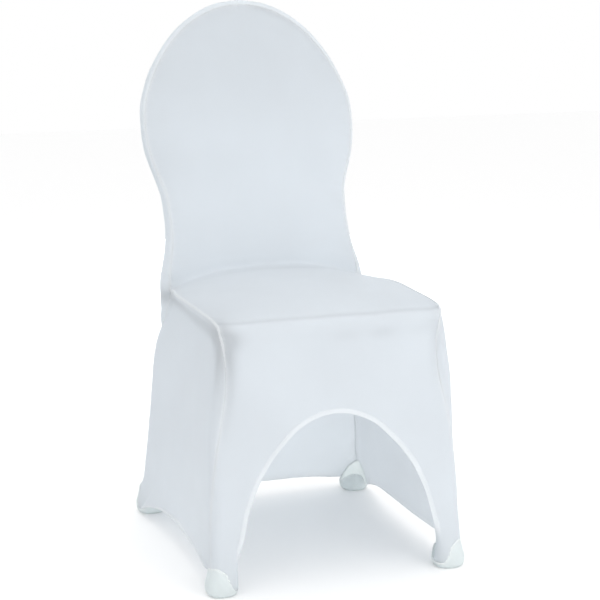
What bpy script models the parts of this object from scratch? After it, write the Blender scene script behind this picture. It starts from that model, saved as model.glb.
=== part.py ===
"""Stretch cover for a round-backed banquet chair, cut and sewn from eight pieces of cloth.

Metres, +Z up. The shape is drawn with the floor at the soles of the foot pockets and the seat
facing -Y, then moved so that the origin is where the cover is held. The two halves match, except
that the left leg's corner is drawn in more and the left side hem is higher.
"""
import bmesh
import bpy
import numpy as np

# Cloth
CLOTH = 0.0012
HEM_CLOTH = 0.0022
HEM_WIDTH = 0.0075
HEM_STEP = 0.0010
SEAM_EASE = 0.00025
POCKET_GAP = 0.0006
POCKET_SLOPE_GAP = 0.0012

# Backrest plane: a point of its middle plane and its lean to the rear
BACK_FOOT = (0.1718, 0.4440)
BACK_LEAN = 0.2671
TOP_RISE = 0.5030
BACK_CROWN = 0.008
REAR_CROWN = 0.003
REAR_CROWN_REACH = 0.1
# Rounds of the rim band as parts of its depth, and where the middle of a round lies
FRONT_ROUND = 0.22
REAR_ROUND = 0.30
ROUND_MIDDLE = (0.32, 0.30)
# The inside of the backrest is fullest at this rise, and falls off below it
CROWN_LEVEL = 0.2
CROWN_LOW_LOSS = 0.7
CROWN_LOW_REACH = 0.24

# Rise along the backrest, half width, depth from front to rear, seam set in from the edge
BACK_COLUMNS = ("rise", "half_width", "depth", "inset")
BACK = (
    (-0.0300, 0.1880, 0.0480, 0.0115),
    (-0.0060, 0.1875, 0.0475, 0.0095),
    (0.0200, 0.1820, 0.0465, 0.0075),
    (0.0464, 0.1752, 0.0450, 0.0058),
    (0.0726, 0.1710, 0.0425, 0.0050),
    (0.0990, 0.1695, 0.0390, 0.0046),
    (0.1250, 0.1700, 0.0345, 0.0045),
    (0.1515, 0.1724, 0.0300, 0.0045),
    (0.1780, 0.1802, 0.0265, 0.0045),
    (0.2040, 0.1890, 0.0250, 0.0045),
    (0.2300, 0.1957, 0.0242, 0.0045),
    (0.2565, 0.1992, 0.0237, 0.0046),
    (0.2830, 0.2003, 0.0232, 0.0048),
    (0.3000, 0.1997, 0.0230, 0.0050),
    (0.3127, 0.1983, 0.0228, 0.0052),
    (0.4000, 0.1660, 0.0220, 0.0066),
    (0.5030, 0.0000, 0.0210, 0.0085),
)
# The seat meets the backrest in a curve: its rise at the middle and at the rim
JUNCTION_RISE = (0.0124, -0.0207)
JUNCTION_CURVE = 2.2
JUNCTION_REACH = 0.11
SLOPE_STEP = 0.001
BACK_ROWS_BELOW = (
    -0.0207, 0.0000, 0.0200, 0.0464, 0.0726, 0.0990, 0.1250,
    0.1515, 0.1780, 0.1910, 0.2040, 0.2170, 0.2300, 0.2565, 0.2830, 0.3000,
)
# Above them the edge is part of an ellipse: its middle, half width and turns from the side
CROWN_RISE = 0.2340
CROWN_HALF_WIDTH = 0.2074
CROWN_TURNS = (17.0, 26.0, 35.0, 44.0, 53.0, 61.5, 70.0, 78.0, 90.0)

# Seat rows from the junction to the front: middle line, then the side seam
SEAT_COLUMNS = ("y", "z", "side_y", "side_x", "side_z")
SEAT = (
    (0.1380, 0.4630, 0.1300, 0.1790, 0.4320),
    (0.1200, 0.4640, 0.1120, 0.1815, 0.4352),
    (0.0920, 0.4655, 0.0860, 0.1866, 0.4388),
    (0.0600, 0.4665, 0.0560, 0.1932, 0.4420),
    (0.0200, 0.4670, 0.0180, 0.1982, 0.4446),
    (-0.0250, 0.4665, -0.0250, 0.1992, 0.4454),
    (-0.0700, 0.4645, -0.0700, 0.1984, 0.4452),
    (-0.1080, 0.4615, -0.1060, 0.1978, 0.4452),
    (-0.1380, 0.4578, -0.1340, 0.1974, 0.4449),
    (-0.1600, 0.4538, -0.1550, 0.1970, 0.4442),
    (-0.1760, 0.4495, -0.1705, 0.1964, 0.4431),
    (-0.1880, 0.4450, -0.1820, 0.1955, 0.4415),
    (-0.1957, 0.4406, -0.1900, 0.1943, 0.4388),
    (-0.2003, 0.4345, -0.1955, 0.1929, 0.4343),
)
# How late the rows bend to the side seam, and how flat the seat is across
SEAT_BEND = 8
SEAT_FULLNESS = 2.4
SEAT_ACROSS = (0.0, 0.12, 0.24, 0.36, 0.48, 0.60, 0.71, 0.81, 0.90, 0.96, 1.0)

# Front legs by height: front face, middle and radius of the corner, seam along the cloth,
# and how far along the arch hem the cloth reaches there
FRONT_COLUMNS = ("z", "front", "middle", "radius", "seam", "hem")
FRONT = (
    (0.0460, -0.2435, 0.2010, 0.0190, 0.2290, 1.000),
    (0.0660, -0.2402, 0.2012, 0.0183, 0.2272, 0.875),
    (0.0950, -0.2367, 0.2008, 0.0177, 0.2250, 0.785),
    (0.1300, -0.2327, 0.2003, 0.0175, 0.2213, 0.690),
    (0.1670, -0.2287, 0.1990, 0.0175, 0.2166, 0.600),
    (0.2080, -0.2242, 0.1966, 0.0175, 0.2100, 0.530),
    (0.2490, -0.2197, 0.1960, 0.0177, 0.2030, 0.475),
    (0.2900, -0.2152, 0.1948, 0.0185, 0.1945, 0.435),
    (0.3240, -0.2114, 0.1928, 0.0197, 0.1875, 0.400),
    (0.3510, -0.2082, 0.1898, 0.0210, 0.1846, 0.370),
    (0.3715, -0.2060, 0.1868, 0.0215, 0.1846, 0.345),
    (0.3950, -0.2040, 0.1852, 0.0203, 0.1862, 0.315),
    (0.4120, -0.2030, 0.1836, 0.0190, 0.1885, 0.290),
    (0.4250, -0.2022, 0.1798, 0.0180, 0.1918, 0.270),
)
SEAM_DIP_COLUMNS = ("z", "dip")
SEAM_DIP = (
    (0.2400, 0.0000),
    (0.3000, 0.0014),
    (0.3500, 0.0040),
    (0.3900, 0.0052),
    (0.4200, 0.0026),
    (0.4400, 0.0000),
)
SEAM_DIP_REACH = 0.014
DIP_EASE = 0.16

# The left front seam is drawn in more: by how much the corner there is smaller
PINCH_COLUMNS = ("z", "pinch")
PINCH = (
    (0.2700, 0.0000),
    (0.3150, 0.0070),
    (0.3600, 0.0115),
    (0.4000, 0.0080),
    (0.4250, 0.0000),
)

# Arch hem of the front apron: half width and height, from the crown to the foot
ARCH_COLUMNS = ("x", "z")
ARCH = (
    (0.0000, 0.2825),
    (0.0240, 0.2797),
    (0.0507, 0.2700),
    (0.0733, 0.2557),
    (0.0960, 0.2335),
    (0.1125, 0.2150),
    (0.1262, 0.1960),
    (0.1373, 0.1776),
    (0.1512, 0.1467),
    (0.1577, 0.1274),
    (0.1643, 0.1004),
    (0.1684, 0.0810),
    (0.1708, 0.0610),
    (0.1735, 0.0400),
    (0.1752, 0.0200),
)
ARCH_STEPS = 141
APRON_ROWS = 6
NEAR_FOOT_SHARE = 0.4

# Rear corner by height: side face, rear face, corner radius, and the seam's place
REAR_COLUMNS = ("z", "side", "rear", "radius", "seam_x", "seam_y")
REAR = (
    (0.0460, 0.2165, 0.2380, 0.0190, 0.2109, 0.2324),
    (0.0660, 0.2150, 0.2335, 0.0183, 0.2096, 0.2281),
    (0.0950, 0.2126, 0.2288, 0.0177, 0.2074, 0.2236),
    (0.1300, 0.2096, 0.2248, 0.0175, 0.2045, 0.2197),
    (0.1670, 0.2068, 0.2207, 0.0175, 0.2017, 0.2156),
    (0.2080, 0.2038, 0.2162, 0.0175, 0.1987, 0.2111),
    (0.2490, 0.2014, 0.2118, 0.0175, 0.1963, 0.2067),
    (0.2900, 0.1990, 0.2074, 0.0172, 0.1940, 0.2024),
    (0.3157, 0.1958, 0.2044, 0.0165, 0.1910, 0.1996),
    (0.3380, 0.1906, 0.2008, 0.0145, 0.1864, 0.1966),
    (0.3560, 0.1848, 0.1980, 0.0110, 0.1816, 0.1908),
    (0.3700, 0.1852, 0.1970, 0.0105, 0.1797, 0.1806),
    (0.3900, 0.1863, 0.1956, 0.0105, 0.1785, 0.1690),
    (0.4100, 0.1874, 0.1942, 0.0105, 0.1778, 0.1562),
    (0.4200, 0.1879, 0.1934, 0.0105, 0.1775, 0.1504),
    (0.4300, 0.1883, 0.1927, 0.0105, 0.1772, 0.1446),
)
REAR_ROW_DROP = 0.0130
REAR_ROW_LEVEL = 0.3500
REAR_ACROSS = (0.0, 0.13, 0.27, 0.42, 0.58, 0.74, 0.88)
CORNER_COLUMNS = 6
CORNER_STEPS = 8
# Beside the rim band the corner runs straight before its round: least length, and its slant
CORNER_FLAT = 0.004
CORNER_SLANT = 1.3

# Ease of the rear side seam, larger where the cloth tucks in beside the rim band
REAR_EASE_COLUMNS = ("z", "ease")
REAR_EASE = (
    (0.3400, 0.00025),
    (0.3600, 0.00070),
    (0.3900, 0.00120),
    (0.4300, 0.00180),
)

# Side panels: the cloth just under the seat seam stands out, by its share and its drop
SEAT_SIDE_SHARE = 0.55
SEAT_SIDE_OUT = 0.004
SEAT_SIDE_DROP = 0.012
SIDE_STEPS = 22
SIDE_ROUND_STEPS = (10, 6)

# Hems of the sides, their height and how squarely they rise, and of the rear
LEFT_HEM = (0.0460, 7.0)
RIGHT_HEM = (0.0320, 2.5)
SIDE_HEM_INSET = 0.0090
SIDE_HEM_OUT = 0.0040
SIDE_BOW = 0.0110
SIDE_BOW_REACH = 0.9
REAR_HEM_RISE = 0.0270
REAR_BOW = 0.0040
REAR_HEM_SQUARE = 4

# Foot pockets
FRONT_FOOT = (0.2018, -0.2255)
REAR_FOOT = (0.2025, 0.2190)
POCKET_COLUMNS = ("z", "half_width")
POCKET = (
    (0.0012, 0.0210),
    (0.0030, 0.0231),
    (0.0070, 0.0246),
    (0.0140, 0.0250),
    (0.0250, 0.0230),
    (0.0380, 0.0200),
    (0.0560, 0.0178),
)
POCKET_SQUARENESS = 2.6
POCKET_LOW_RIM = 0.0150
POCKET_HIGH_RIM = 0.0480
POCKET_REACH = 0.0310
POCKET_WALL_FOOT = 0.0070
POCKET_LEVELS = (1.0, 0.75, 0.5, 0.25, 0.0)
SOLE_RINGS = (0.62, 0.3, 0.0)
# The corner of a pocket that points away from the chair
OUTER_TURN = 45.0
# Rise of a pocket's own rim on its inner side, where no panel ends on it, and how much it flares
INNER_RIM_COLUMNS = ("turn", "rise")
FRONT_INNER_RIM = (
    (128.0, 0.0),
    (150.0, 0.0070),
    (174.0, 0.0160),
    (198.0, 0.0180),
    (222.0, 0.0190),
    (246.0, 0.0200),
    (270.0, 0.0210),
    (291.0, 0.0150),
    (310.0, 0.0),
)
REAR_INNER_RIM = (
    (128.0, 0.0),
    (150.0, 0.0090),
    (174.0, 0.0190),
    (198.0, 0.0200),
    (222.0, 0.0180),
    (246.0, 0.0140),
    (270.0, 0.0090),
    (291.0, 0.0040),
    (310.0, 0.0),
)
INNER_FLARE = 6.0
# Turns round a pocket from the panel's hem to its seam, from there along the side panel, and
# round the free inner rim
FRONT_HEM_TURNS = (-50.0, -37.0, -22.0, -6.0, 11.0, 28.0, 45.0, 63.0, 80.0)
FRONT_SIDE_TURNS = (80.0, 92.0, 104.0, 116.0, 128.0)
REAR_HEM_TURNS = (-50.0, -38.0, -21.0, -4.0, 12.0, 29.0, 45.0)
REAR_SIDE_TURNS = (45.0, 74.0, 102.0, 128.0)
INNER_TURNS = (150.0, 174.0, 198.0, 222.0, 246.0, 270.0, 291.0, 310.0)

# Where the cover is held: inside the top of the backrest
HELD_AT = (0.0, 0.3045, 0.9270)

# Points closer than these are one, and points this near the middle are on it
WELD = 0.00004
SLIVER = 0.00002
ON_MIDDLE = 0.00005


def reading(columns, rows, name, at):
    """Smooth, never overshooting reading of one table column against the first one."""
    place = columns.index(name)
    knots = np.array([row[0] for row in rows])
    values = np.array([row[place] for row in rows])
    width = np.diff(knots)
    rise = np.diff(values) / width
    slope = np.zeros(len(knots))
    slope[0] = rise[0]
    slope[-1] = rise[-1]
    for index in range(1, len(knots) - 1):
        before = rise[index - 1]
        after = rise[index]
        if before * after > 0.0:
            slope[index] = 2.0 * before * after / (before + after)
    at = np.clip(np.asarray(at, dtype=float), knots[0], knots[-1])
    cell = np.clip(np.searchsorted(knots, at, side="right") - 1, 0, len(width) - 1)
    part = (at - knots[cell]) / width[cell]
    start = values[cell] * (1.0 + 2.0 * part) * (1.0 - part) ** 2
    end = values[cell + 1] * part ** 2 * (3.0 - 2.0 * part)
    lean_in = slope[cell] * width[cell] * part * (1.0 - part) ** 2
    lean_out = slope[cell + 1] * width[cell] * part ** 2 * (part - 1.0)
    return start + end + lean_in + lean_out


def back(name, rise):
    return reading(BACK_COLUMNS, BACK, name, rise)


def front(name, z):
    return reading(FRONT_COLUMNS, FRONT, name, z)


def rear(name, z):
    return reading(REAR_COLUMNS, REAR, name, z)


def back_point(x, rise, forward):
    """Point of the leaning backrest, forward of its middle plane."""
    y = BACK_FOOT[0] + rise * np.sin(BACK_LEAN) - forward * np.cos(BACK_LEAN)
    z = BACK_FOOT[1] + rise * np.cos(BACK_LEAN) + forward * np.sin(BACK_LEAN)
    return np.array([x, y, z])


def back_outline():
    """Rows of the backrest's edge, bottom to top: half width, rise and outward direction."""
    rows = []
    for rise in BACK_ROWS_BELOW:
        above = float(back("half_width", rise + SLOPE_STEP))
        below = float(back("half_width", rise - SLOPE_STEP))
        lean = (above - below) / (2.0 * SLOPE_STEP)
        length = np.hypot(1.0, lean)
        rows.append((float(back("half_width", rise)), rise, 1.0 / length, -lean / length))
    tall = TOP_RISE - CROWN_RISE
    for turn in np.radians(CROWN_TURNS):
        out_x = np.cos(turn) / CROWN_HALF_WIDTH
        out_rise = np.sin(turn) / tall
        length = np.hypot(out_x, out_rise)
        x = CROWN_HALF_WIDTH * np.cos(turn)
        rise = CROWN_RISE + tall * np.sin(turn)
        rows.append((x, rise, out_x / length, out_rise / length))
    rows[-1] = (0.0, TOP_RISE, 0.0, 1.0)
    return rows


def rim_section(row):
    """Section of the rim band at one row of the edge: front seam, round, side, round, rear."""
    x, rise, out_x, out_rise = row
    depth = float(back("depth", rise))
    inset = float(back("inset", rise))
    front_round = FRONT_ROUND * depth
    rear_round = REAR_ROUND * depth
    half = depth / 2.0
    inner, outer = ROUND_MIDDLE
    steps = (
        (inset, half),
        (inner * inset, half - outer * front_round),
        (0.0, half - front_round),
        (0.0, rear_round - half),
        (outer * rear_round, outer * rear_round - half),
        (rear_round, -half),
    )
    points = []
    for inward, forward in steps:
        points.append(back_point(x - inward * out_x, rise - inward * out_rise, forward))
    return points


def seam_in_plane(row):
    x, rise, out_x, out_rise = row
    inset = float(back("inset", rise))
    return x - inset * out_x, rise - inset * out_rise


def inner_back_grid(across):
    """Inside of the backrest, top row first, from the middle to the rim seam."""
    outline = back_outline()
    seam_low = seam_in_plane(outline[0])[1]
    grid = []
    for row in reversed(outline):
        edge_x, edge_rise = seam_in_plane(row)
        half = float(back("depth", row[1])) / 2.0
        points = []
        for part in across:
            x = part * edge_x
            fade = max(0.0, 1.0 - (edge_rise - seam_low) / JUNCTION_REACH) ** 2
            lift = (JUNCTION_RISE[0] - JUNCTION_RISE[1]) * (1.0 - part ** JUNCTION_CURVE)
            rise = edge_rise + lift * fade
            if rise > CROWN_LEVEL:
                height = 1.0 - ((rise - CROWN_LEVEL) / (TOP_RISE - CROWN_LEVEL)) ** 2
            else:
                height = 1.0 - CROWN_LOW_LOSS * ((CROWN_LEVEL - rise) / CROWN_LOW_REACH) ** 2
            crown = BACK_CROWN * (1.0 - part ** 2) * max(0.0, height)
            points.append(back_point(x, rise, half + crown))
        grid.append(points)
    return grid


def seat_grid(across):
    """Seat from behind the junction to the front edge, from the middle to the side seam."""
    grid = []
    for y, z, side_y, side_x, side_z in SEAT:
        points = []
        for part in across:
            bend = part ** SEAT_BEND
            crown = 1.0 - part ** SEAT_FULLNESS
            points.append(np.array([
                part * side_x,
                y + (side_y - y) * bend,
                side_z + (z - side_z) * crown,
            ]))
        grid.append(points)
    return grid


def front_point(along, z):
    """Point of the front face, by the distance along the cloth from the middle."""
    face = float(front("front", z))
    middle = float(front("middle", z))
    radius = float(front("radius", z))
    seam = float(front("seam", z))
    x = along
    y = face
    if along > middle:
        turn = (along - middle) / radius
        x = middle + radius * np.sin(turn)
        y = face + radius * (1.0 - np.cos(turn))
    dip = float(reading(SEAM_DIP_COLUMNS, SEAM_DIP, "dip", z))
    y += dip * np.exp(-((seam - along) / SEAM_DIP_REACH) ** 2)
    return np.array([x, y, z])


def seam_heights():
    return [row[0] for row in reversed(FRONT)]


def pocket_half_width(z):
    return float(reading(POCKET_COLUMNS, POCKET, "half_width", z))


def pocket_rim(turn):
    """Height of a pocket's rim: highest on the outer corner, low towards the chair's inside."""
    rise = max(0.0, np.cos(np.radians(turn - OUTER_TURN)))
    return POCKET_LOW_RIM + (POCKET_HIGH_RIM - POCKET_LOW_RIM) * rise


def inner_rise(foot, turn):
    """How much higher a pocket's own rim stands on its inner side."""
    rows = FRONT_INNER_RIM if foot[1] < 0.0 else REAR_INNER_RIM
    return float(reading(INNER_RIM_COLUMNS, rows, "rise", turn))


def above_rim(foot, turn):
    """Point where a panel ends just above a pocket's rim, with more room where it slopes."""
    slope = abs(np.sin(np.radians(turn - OUTER_TURN)))
    return ring_point(foot, turn, pocket_rim(turn) + POCKET_GAP + POCKET_SLOPE_GAP * slope)


def ring_point(foot, turn, z):
    """Point of a rounded square round a foot; 0 faces out along Y, 90 faces out along X."""
    angle = np.radians(turn)
    reach = pocket_half_width(z)
    power = 2.0 / POCKET_SQUARENESS
    side = np.sign(np.sin(angle)) * abs(np.sin(angle)) ** power
    ahead = np.sign(np.cos(angle)) * abs(np.cos(angle)) ** power
    outward = np.sign(foot[1])
    return np.array([foot[0] + reach * side, foot[1] + outward * reach * ahead, z])


def polyline_points(points, parts):
    """Points at given parts of the length of a line of points."""
    points = np.array(points)
    steps = np.linalg.norm(np.diff(points, axis=0), axis=1)
    length = np.concatenate([[0.0], np.cumsum(steps)])
    length /= length[-1]
    return np.stack([np.interp(parts, length, points[:, axis]) for axis in range(points.shape[1])], 1)


def arch_point(part):
    """Point of the arch hem by its part of the hem's length, crown to foot."""
    fine = np.linspace(0.0, 1.0, ARCH_STEPS)
    rows = tuple((index / (len(ARCH) - 1.0),) + row for index, row in enumerate(ARCH))
    x = reading(("mark",) + ARCH_COLUMNS, rows, "x", fine)
    z = reading(("mark",) + ARCH_COLUMNS, rows, "z", fine)
    return polyline_points(np.stack([x, z], 1), [part])[0]


def eased(points, first, last):
    """A row of points with its seam ends drawn back along the cloth by the given lengths."""
    points = [np.array(point) for point in points]
    if first > 0.0:
        way = points[1] - points[0]
        points[0] = points[0] + way / np.linalg.norm(way) * first
    if last > 0.0:
        way = points[-2] - points[-1]
        points[-1] = points[-1] + way / np.linalg.norm(way) * last
    return points


def front_ease(z):
    """More ease where the front seam lies in a dip, as the two edges lean together there."""
    dip = float(reading(SEAM_DIP_COLUMNS, SEAM_DIP, "dip", z))
    return SEAM_EASE + DIP_EASE * dip


def rear_ease(z):
    return float(reading(REAR_EASE_COLUMNS, REAR_EASE, "ease", z))


def hem_line(start, end, rows):
    """Parts along a line of cloth: even steps, then the doubled hem."""
    length = np.linalg.norm(np.array(end) - np.array(start))
    fold = 1.0 - (HEM_WIDTH + HEM_STEP) / length
    parts = [fold * index / rows for index in range(rows + 1)]
    parts.append(1.0 - HEM_WIDTH / length)
    parts.append(1.0)
    return parts


def apron_grid(across, rows):
    """Front apron as lines from the seat edge and leg seam to the arch hem."""
    lines = []
    top = FRONT[-1][0]
    top_seam = float(front("seam", top))
    for part in across:
        hem = arch_point(part * FRONT[-1][5])
        start = (part * top_seam, top)
        lines.append((start, hem))
    for z in seam_heights()[1:]:
        start = (float(front("seam", z)), z)
        lines.append((start, arch_point(float(front("hem", z)))))
    grid = []
    for index, (start, hem) in enumerate(lines):
        line = []
        at_foot = index == len(lines) - 1
        near_foot = index == len(lines) - 2
        for part, turn in zip(hem_line(start, hem, rows), reversed(FRONT_HEM_TURNS)):
            flat = np.array(start) * (1.0 - part) + np.array(hem) * part
            point = front_point(flat[0], flat[1])
            if at_foot:
                point = above_rim(FRONT_FOOT, turn)
            if near_foot:
                ring = ring_point(FRONT_FOOT, turn, flat[1])
                point = point + NEAR_FOOT_SHARE * (ring - point)
            line.append(point)
        if index >= len(across) - 1:
            line = eased(line, front_ease(start[1]), 0.0)
        grid.append(line)
    return grid


def rear_section(z):
    """Section of the rear corner from the side seam to the rear face."""
    side = float(rear("side", z))
    face = float(rear("rear", z))
    radius = float(rear("radius", z))
    seam = np.array([float(rear("seam_x", z)), float(rear("seam_y", z))])
    middle = np.array([side - radius, face - radius])
    path = [seam]
    if seam[1] < middle[1] - CORNER_FLAT:
        bend = min(seam[1] + CORNER_SLANT * (side - seam[0]), middle[1])
        path.append(np.array([side, bend]))
        begin = 0.0
    else:
        begin = max(0.0, np.arctan2(seam[1] - middle[1], seam[0] - middle[0]))
    for turn in np.linspace(begin, np.pi / 2.0, CORNER_STEPS):
        path.append(middle + radius * np.array([np.cos(turn), np.sin(turn)]))
    flat = polyline_points(path, np.linspace(0.0, 1.0, CORNER_COLUMNS))
    return [np.array([point[0], point[1], z]) for point in flat]


def back_panel_grid():
    """Rim band and outer back, top row first, from the seam round to the middle of the rear."""
    grid = []
    for row in reversed(back_outline()):
        points = rim_section(row)
        rise = row[1]
        edge = points[-1]
        depth = float(back("depth", rise))
        middle_rise = rise - REAR_ROUND * depth * row[3]
        half = depth / 2.0
        spread = min(1.0, edge[0] / REAR_CROWN_REACH)
        for part in reversed(REAR_ACROSS):
            crown = REAR_CROWN * (1.0 - part ** 2) * spread
            points.append(back_point(part * edge[0], middle_rise, -half - crown))
        ease = SEAM_EASE
        if row[1] == BACK_ROWS_BELOW[0]:
            ease = REAR_EASE[-1][1]
        grid.append(eased(points, ease, 0.0))
    for z in seam_heights()[1:]:
        points = rear_section(z)
        fade = max(0.0, (z - REAR_ROW_LEVEL) / (REAR[-1][0] - REAR_ROW_LEVEL))
        begin = points[0][1]
        for point in points:
            point[2] -= REAR_ROW_DROP * fade * (point[1] - begin) / (points[-1][1] - begin)
        edge = points[-1]
        rim = z == FRONT[0][0]
        if rim:
            points = []
            for turn in reversed(REAR_HEM_TURNS[1:]):
                points.append(above_rim(REAR_FOOT, turn))
            edge = above_rim(REAR_FOOT, REAR_HEM_TURNS[0])
        for part in reversed(REAR_ACROSS):
            bow = REAR_BOW * (1.0 - part ** 2)
            point = np.array([part * edge[0], edge[1] - bow, edge[2]])
            if rim:
                point[2] = edge[2] + (REAR_HEM_RISE - edge[2]) * (1.0 - part ** REAR_HEM_SQUARE)
            points.append(point)
        grid.append(eased(points, rear_ease(z), 0.0))
    return grid


def side_top():
    """Side seam of the seat from the front corner to the backrest."""
    points = [np.array([row[3], row[2], row[4]]) for row in reversed(SEAT)]
    points.append(rim_section(back_outline()[0])[0])
    return points


def side_parts():
    points = np.array(side_top())
    length = np.concatenate([[0.0], np.cumsum(np.linalg.norm(np.diff(points, axis=0), axis=1))])
    return length / length[-1]


def side_row(z, drop, pinched):
    """Section of the side cloth at one height, front seam to rear seam."""
    face = float(front("front", z))
    middle = float(front("middle", z))
    radius = float(front("radius", z))
    if pinched:
        radius -= float(reading(PINCH_COLUMNS, PINCH, "pinch", z))
    seam = float(front("seam", z))
    path = [front_point(seam, z)[:2]]
    begin = max(0.0, (seam - middle) / radius)
    for turn in np.linspace(begin, np.pi / 2.0, SIDE_ROUND_STEPS[0])[1:]:
        path.append(np.array([middle + radius * np.sin(turn), face + radius * (1.0 - np.cos(turn))]))
    side = float(rear("side", z))
    corner = float(rear("radius", z))
    centre = np.array([side - corner, float(rear("rear", z)) - corner])
    last = np.array([float(rear("seam_x", z)), float(rear("seam_y", z))])
    finish = np.arctan2(last[1] - centre[1], last[0] - centre[0])
    after = [last]
    if finish > 0.0 and last[1] > centre[1]:
        for turn in np.linspace(finish, 0.0, SIDE_ROUND_STEPS[1])[1:]:
            after.append(centre + corner * np.array([np.cos(turn), np.sin(turn)]))
    start = path[-1]
    end = after[-1]
    bow = SIDE_BOW * np.sin(np.pi * min(1.0, drop / SIDE_BOW_REACH))
    bow += SIDE_HEM_INSET * drop ** 3
    for part in np.linspace(0.0, 1.0, SIDE_STEPS)[1:-1]:
        point = start * (1.0 - part) + end * part
        point[0] -= bow * 4.0 * part * (1.0 - part)
        path.append(point)
    path.extend(reversed(after))
    flat = polyline_points(path, side_parts())
    return [np.array([point[0], point[1], z]) for point in flat]


def side_panel_grid(hem, pinched):
    """Side panel, top row first, from the front seam to the rear seam."""
    heights = seam_heights()
    parts = side_parts()
    grid = [eased(side_top(), SEAM_EASE, REAR_EASE[-1][1])]
    for index, z in enumerate(heights[:-1]):
        drop = (heights[0] - z) / heights[0]
        row = side_row(z, drop, pinched)
        if index == 0:
            row = first_side_row(row)
        grid.append(eased(row, front_ease(z), rear_ease(z)))
    bottom = []
    for turn in FRONT_SIDE_TURNS:
        bottom.append(above_rim(FRONT_FOOT, turn))
    tail = []
    for turn in REAR_SIDE_TURNS:
        tail.append(above_rim(REAR_FOOT, turn))
    start = bottom[-1]
    end = tail[-1]
    span = parts[len(bottom) - 1:len(parts) - len(tail) + 1]
    for part in (span[1:-1] - span[0]) / (span[-1] - span[0]):
        point = start * (1.0 - part) + end * part
        rise = 1.0 - abs(2.0 * part - 1.0) ** hem[1]
        point[2] += (hem[0] - point[2]) * rise
        point[0] -= (SIDE_HEM_INSET + SIDE_HEM_OUT) * 4.0 * part * (1.0 - part) - SIDE_HEM_OUT
        bottom.append(point)
    bottom.extend(reversed(tail))
    grid.append(eased(bottom, SEAM_EASE, SEAM_EASE))
    return grid


def first_side_row(row):
    """First row under the seat seam: it follows the seam's rise and the seat's fullness."""
    top = side_top()
    full = []
    for upper, lower in zip(top, row):
        point = np.array(lower)
        point[0] += SEAT_SIDE_SHARE * (upper[0] + SEAT_SIDE_OUT - lower[0])
        point[2] = upper[2] - SEAT_SIDE_DROP
        full.append(point)
    full[0] = row[0]
    full[-1] = row[-1]
    return full


def with_hem(grid):
    """Adds the doubled hem along a grid's last row."""
    result = grid[:-1]
    fold = []
    stitch = []
    for above, below in zip(grid[-2], grid[-1]):
        way = np.array(above) - np.array(below)
        length = np.linalg.norm(way)
        fold.append(below + way / length * (HEM_WIDTH + HEM_STEP))
        stitch.append(below + way / length * HEM_WIDTH)
    result.append(fold)
    result.append(stitch)
    result.append(grid[-1])
    return result


def eased_rows(grid, first, last):
    return [eased(row, first, last) for row in grid]


def transposed(grid):
    return [list(column) for column in zip(*grid)]


def mirrored(grid):
    return [[np.array([-point[0], point[1], point[2]]) for point in row] for row in grid]


def pocket_grid(foot, hem_turns, side_turns, side):
    """A foot pocket from its rim down to its sole, one row for each level."""
    turns = hem_turns + side_turns[1:] + INNER_TURNS
    grid = []
    centre = np.array([foot[0], foot[1], POCKET[0][0]])
    for level in POCKET_LEVELS:
        row = []
        for turn in turns:
            rise = inner_rise(foot, turn)
            z = POCKET_WALL_FOOT + (pocket_rim(turn) + rise - POCKET_WALL_FOOT) * level
            point = ring_point(foot, turn, z)
            flare = INNER_FLARE * rise * level ** 2
            point[:2] += flare * (point[:2] - centre[:2])
            row.append(point)
        grid.append(row)
    for z in (POCKET[1][0], POCKET[0][0]):
        grid.append([ring_point(foot, turn, z) for turn in turns])
    edge = grid[-1]
    for part in SOLE_RINGS:
        grid.append([centre + (point - centre) * part for point in edge])
    return [[np.array([side * point[0], point[1], point[2]]) for point in row] for row in grid]


def material(name, color, roughness):
    result = bpy.data.materials.new(name)
    result.use_nodes = True
    shader = result.node_tree.nodes["Principled BSDF"]
    shader.inputs["Base Color"].default_value = color + (1.0,)
    shader.inputs["Roughness"].default_value = roughness
    shader.inputs["Metallic"].default_value = 0.0
    return result


def beside_pocket(point):
    """True where a panel ends on a pocket, so that its hem isn't doubled."""
    for foot in (FRONT_FOOT, REAR_FOOT):
        if np.hypot(abs(point[0]) - foot[0], point[1] - foot[1]) < POCKET_REACH:
            return True
    return False


def sheet(name, grids, hem_rows, turned_over, half, finish, home, parent):
    """One piece of cloth from its grids: welded surface, mirrored half, then its thickness."""
    mesh = bpy.data.meshes.new(name)
    build = bmesh.new()
    weight = build.verts.layers.deform.verify()
    for grid, doubled in zip(grids, hem_rows):
        rows = []
        for index, row in enumerate(grid):
            verts = []
            for point in row:
                vert = build.verts.new([float(value) for value in point])
                if index >= len(grid) - doubled and not beside_pocket(point):
                    vert[weight][0] = 1.0
                verts.append(vert)
            rows.append(verts)
        for upper, lower in zip(rows[:-1], rows[1:]):
            for left, right, far, near in zip(upper[:-1], upper[1:], lower[1:], lower[:-1]):
                corners = [left, near, far, right]
                if turned_over:
                    corners.reverse()
                build.faces.new(corners)
    bmesh.ops.remove_doubles(build, verts=build.verts, dist=WELD)
    bmesh.ops.dissolve_degenerate(build, edges=build.edges, dist=SLIVER)
    if half:
        for vert in build.verts:
            if abs(vert.co.x) < ON_MIDDLE:
                vert.co.x = 0.0
    build.to_mesh(mesh)
    build.free()
    result = bpy.data.objects.new(name, mesh)
    home.objects.link(result)
    result.vertex_groups.new(name="hem")
    result.data.materials.append(finish)
    if half:
        mirror = result.modifiers.new("Mirror", "MIRROR")
        mirror.merge_threshold = 2.0 * ON_MIDDLE
    thick = result.modifiers.new("Cloth", "SOLIDIFY")
    thick.thickness = HEM_CLOTH
    thick.offset = 1.0
    thick.use_even_offset = True
    thick.use_quality_normals = True
    thick.vertex_group = "hem"
    thick.thickness_vertex_group = CLOTH / HEM_CLOTH
    result.parent = parent
    return result


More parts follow.
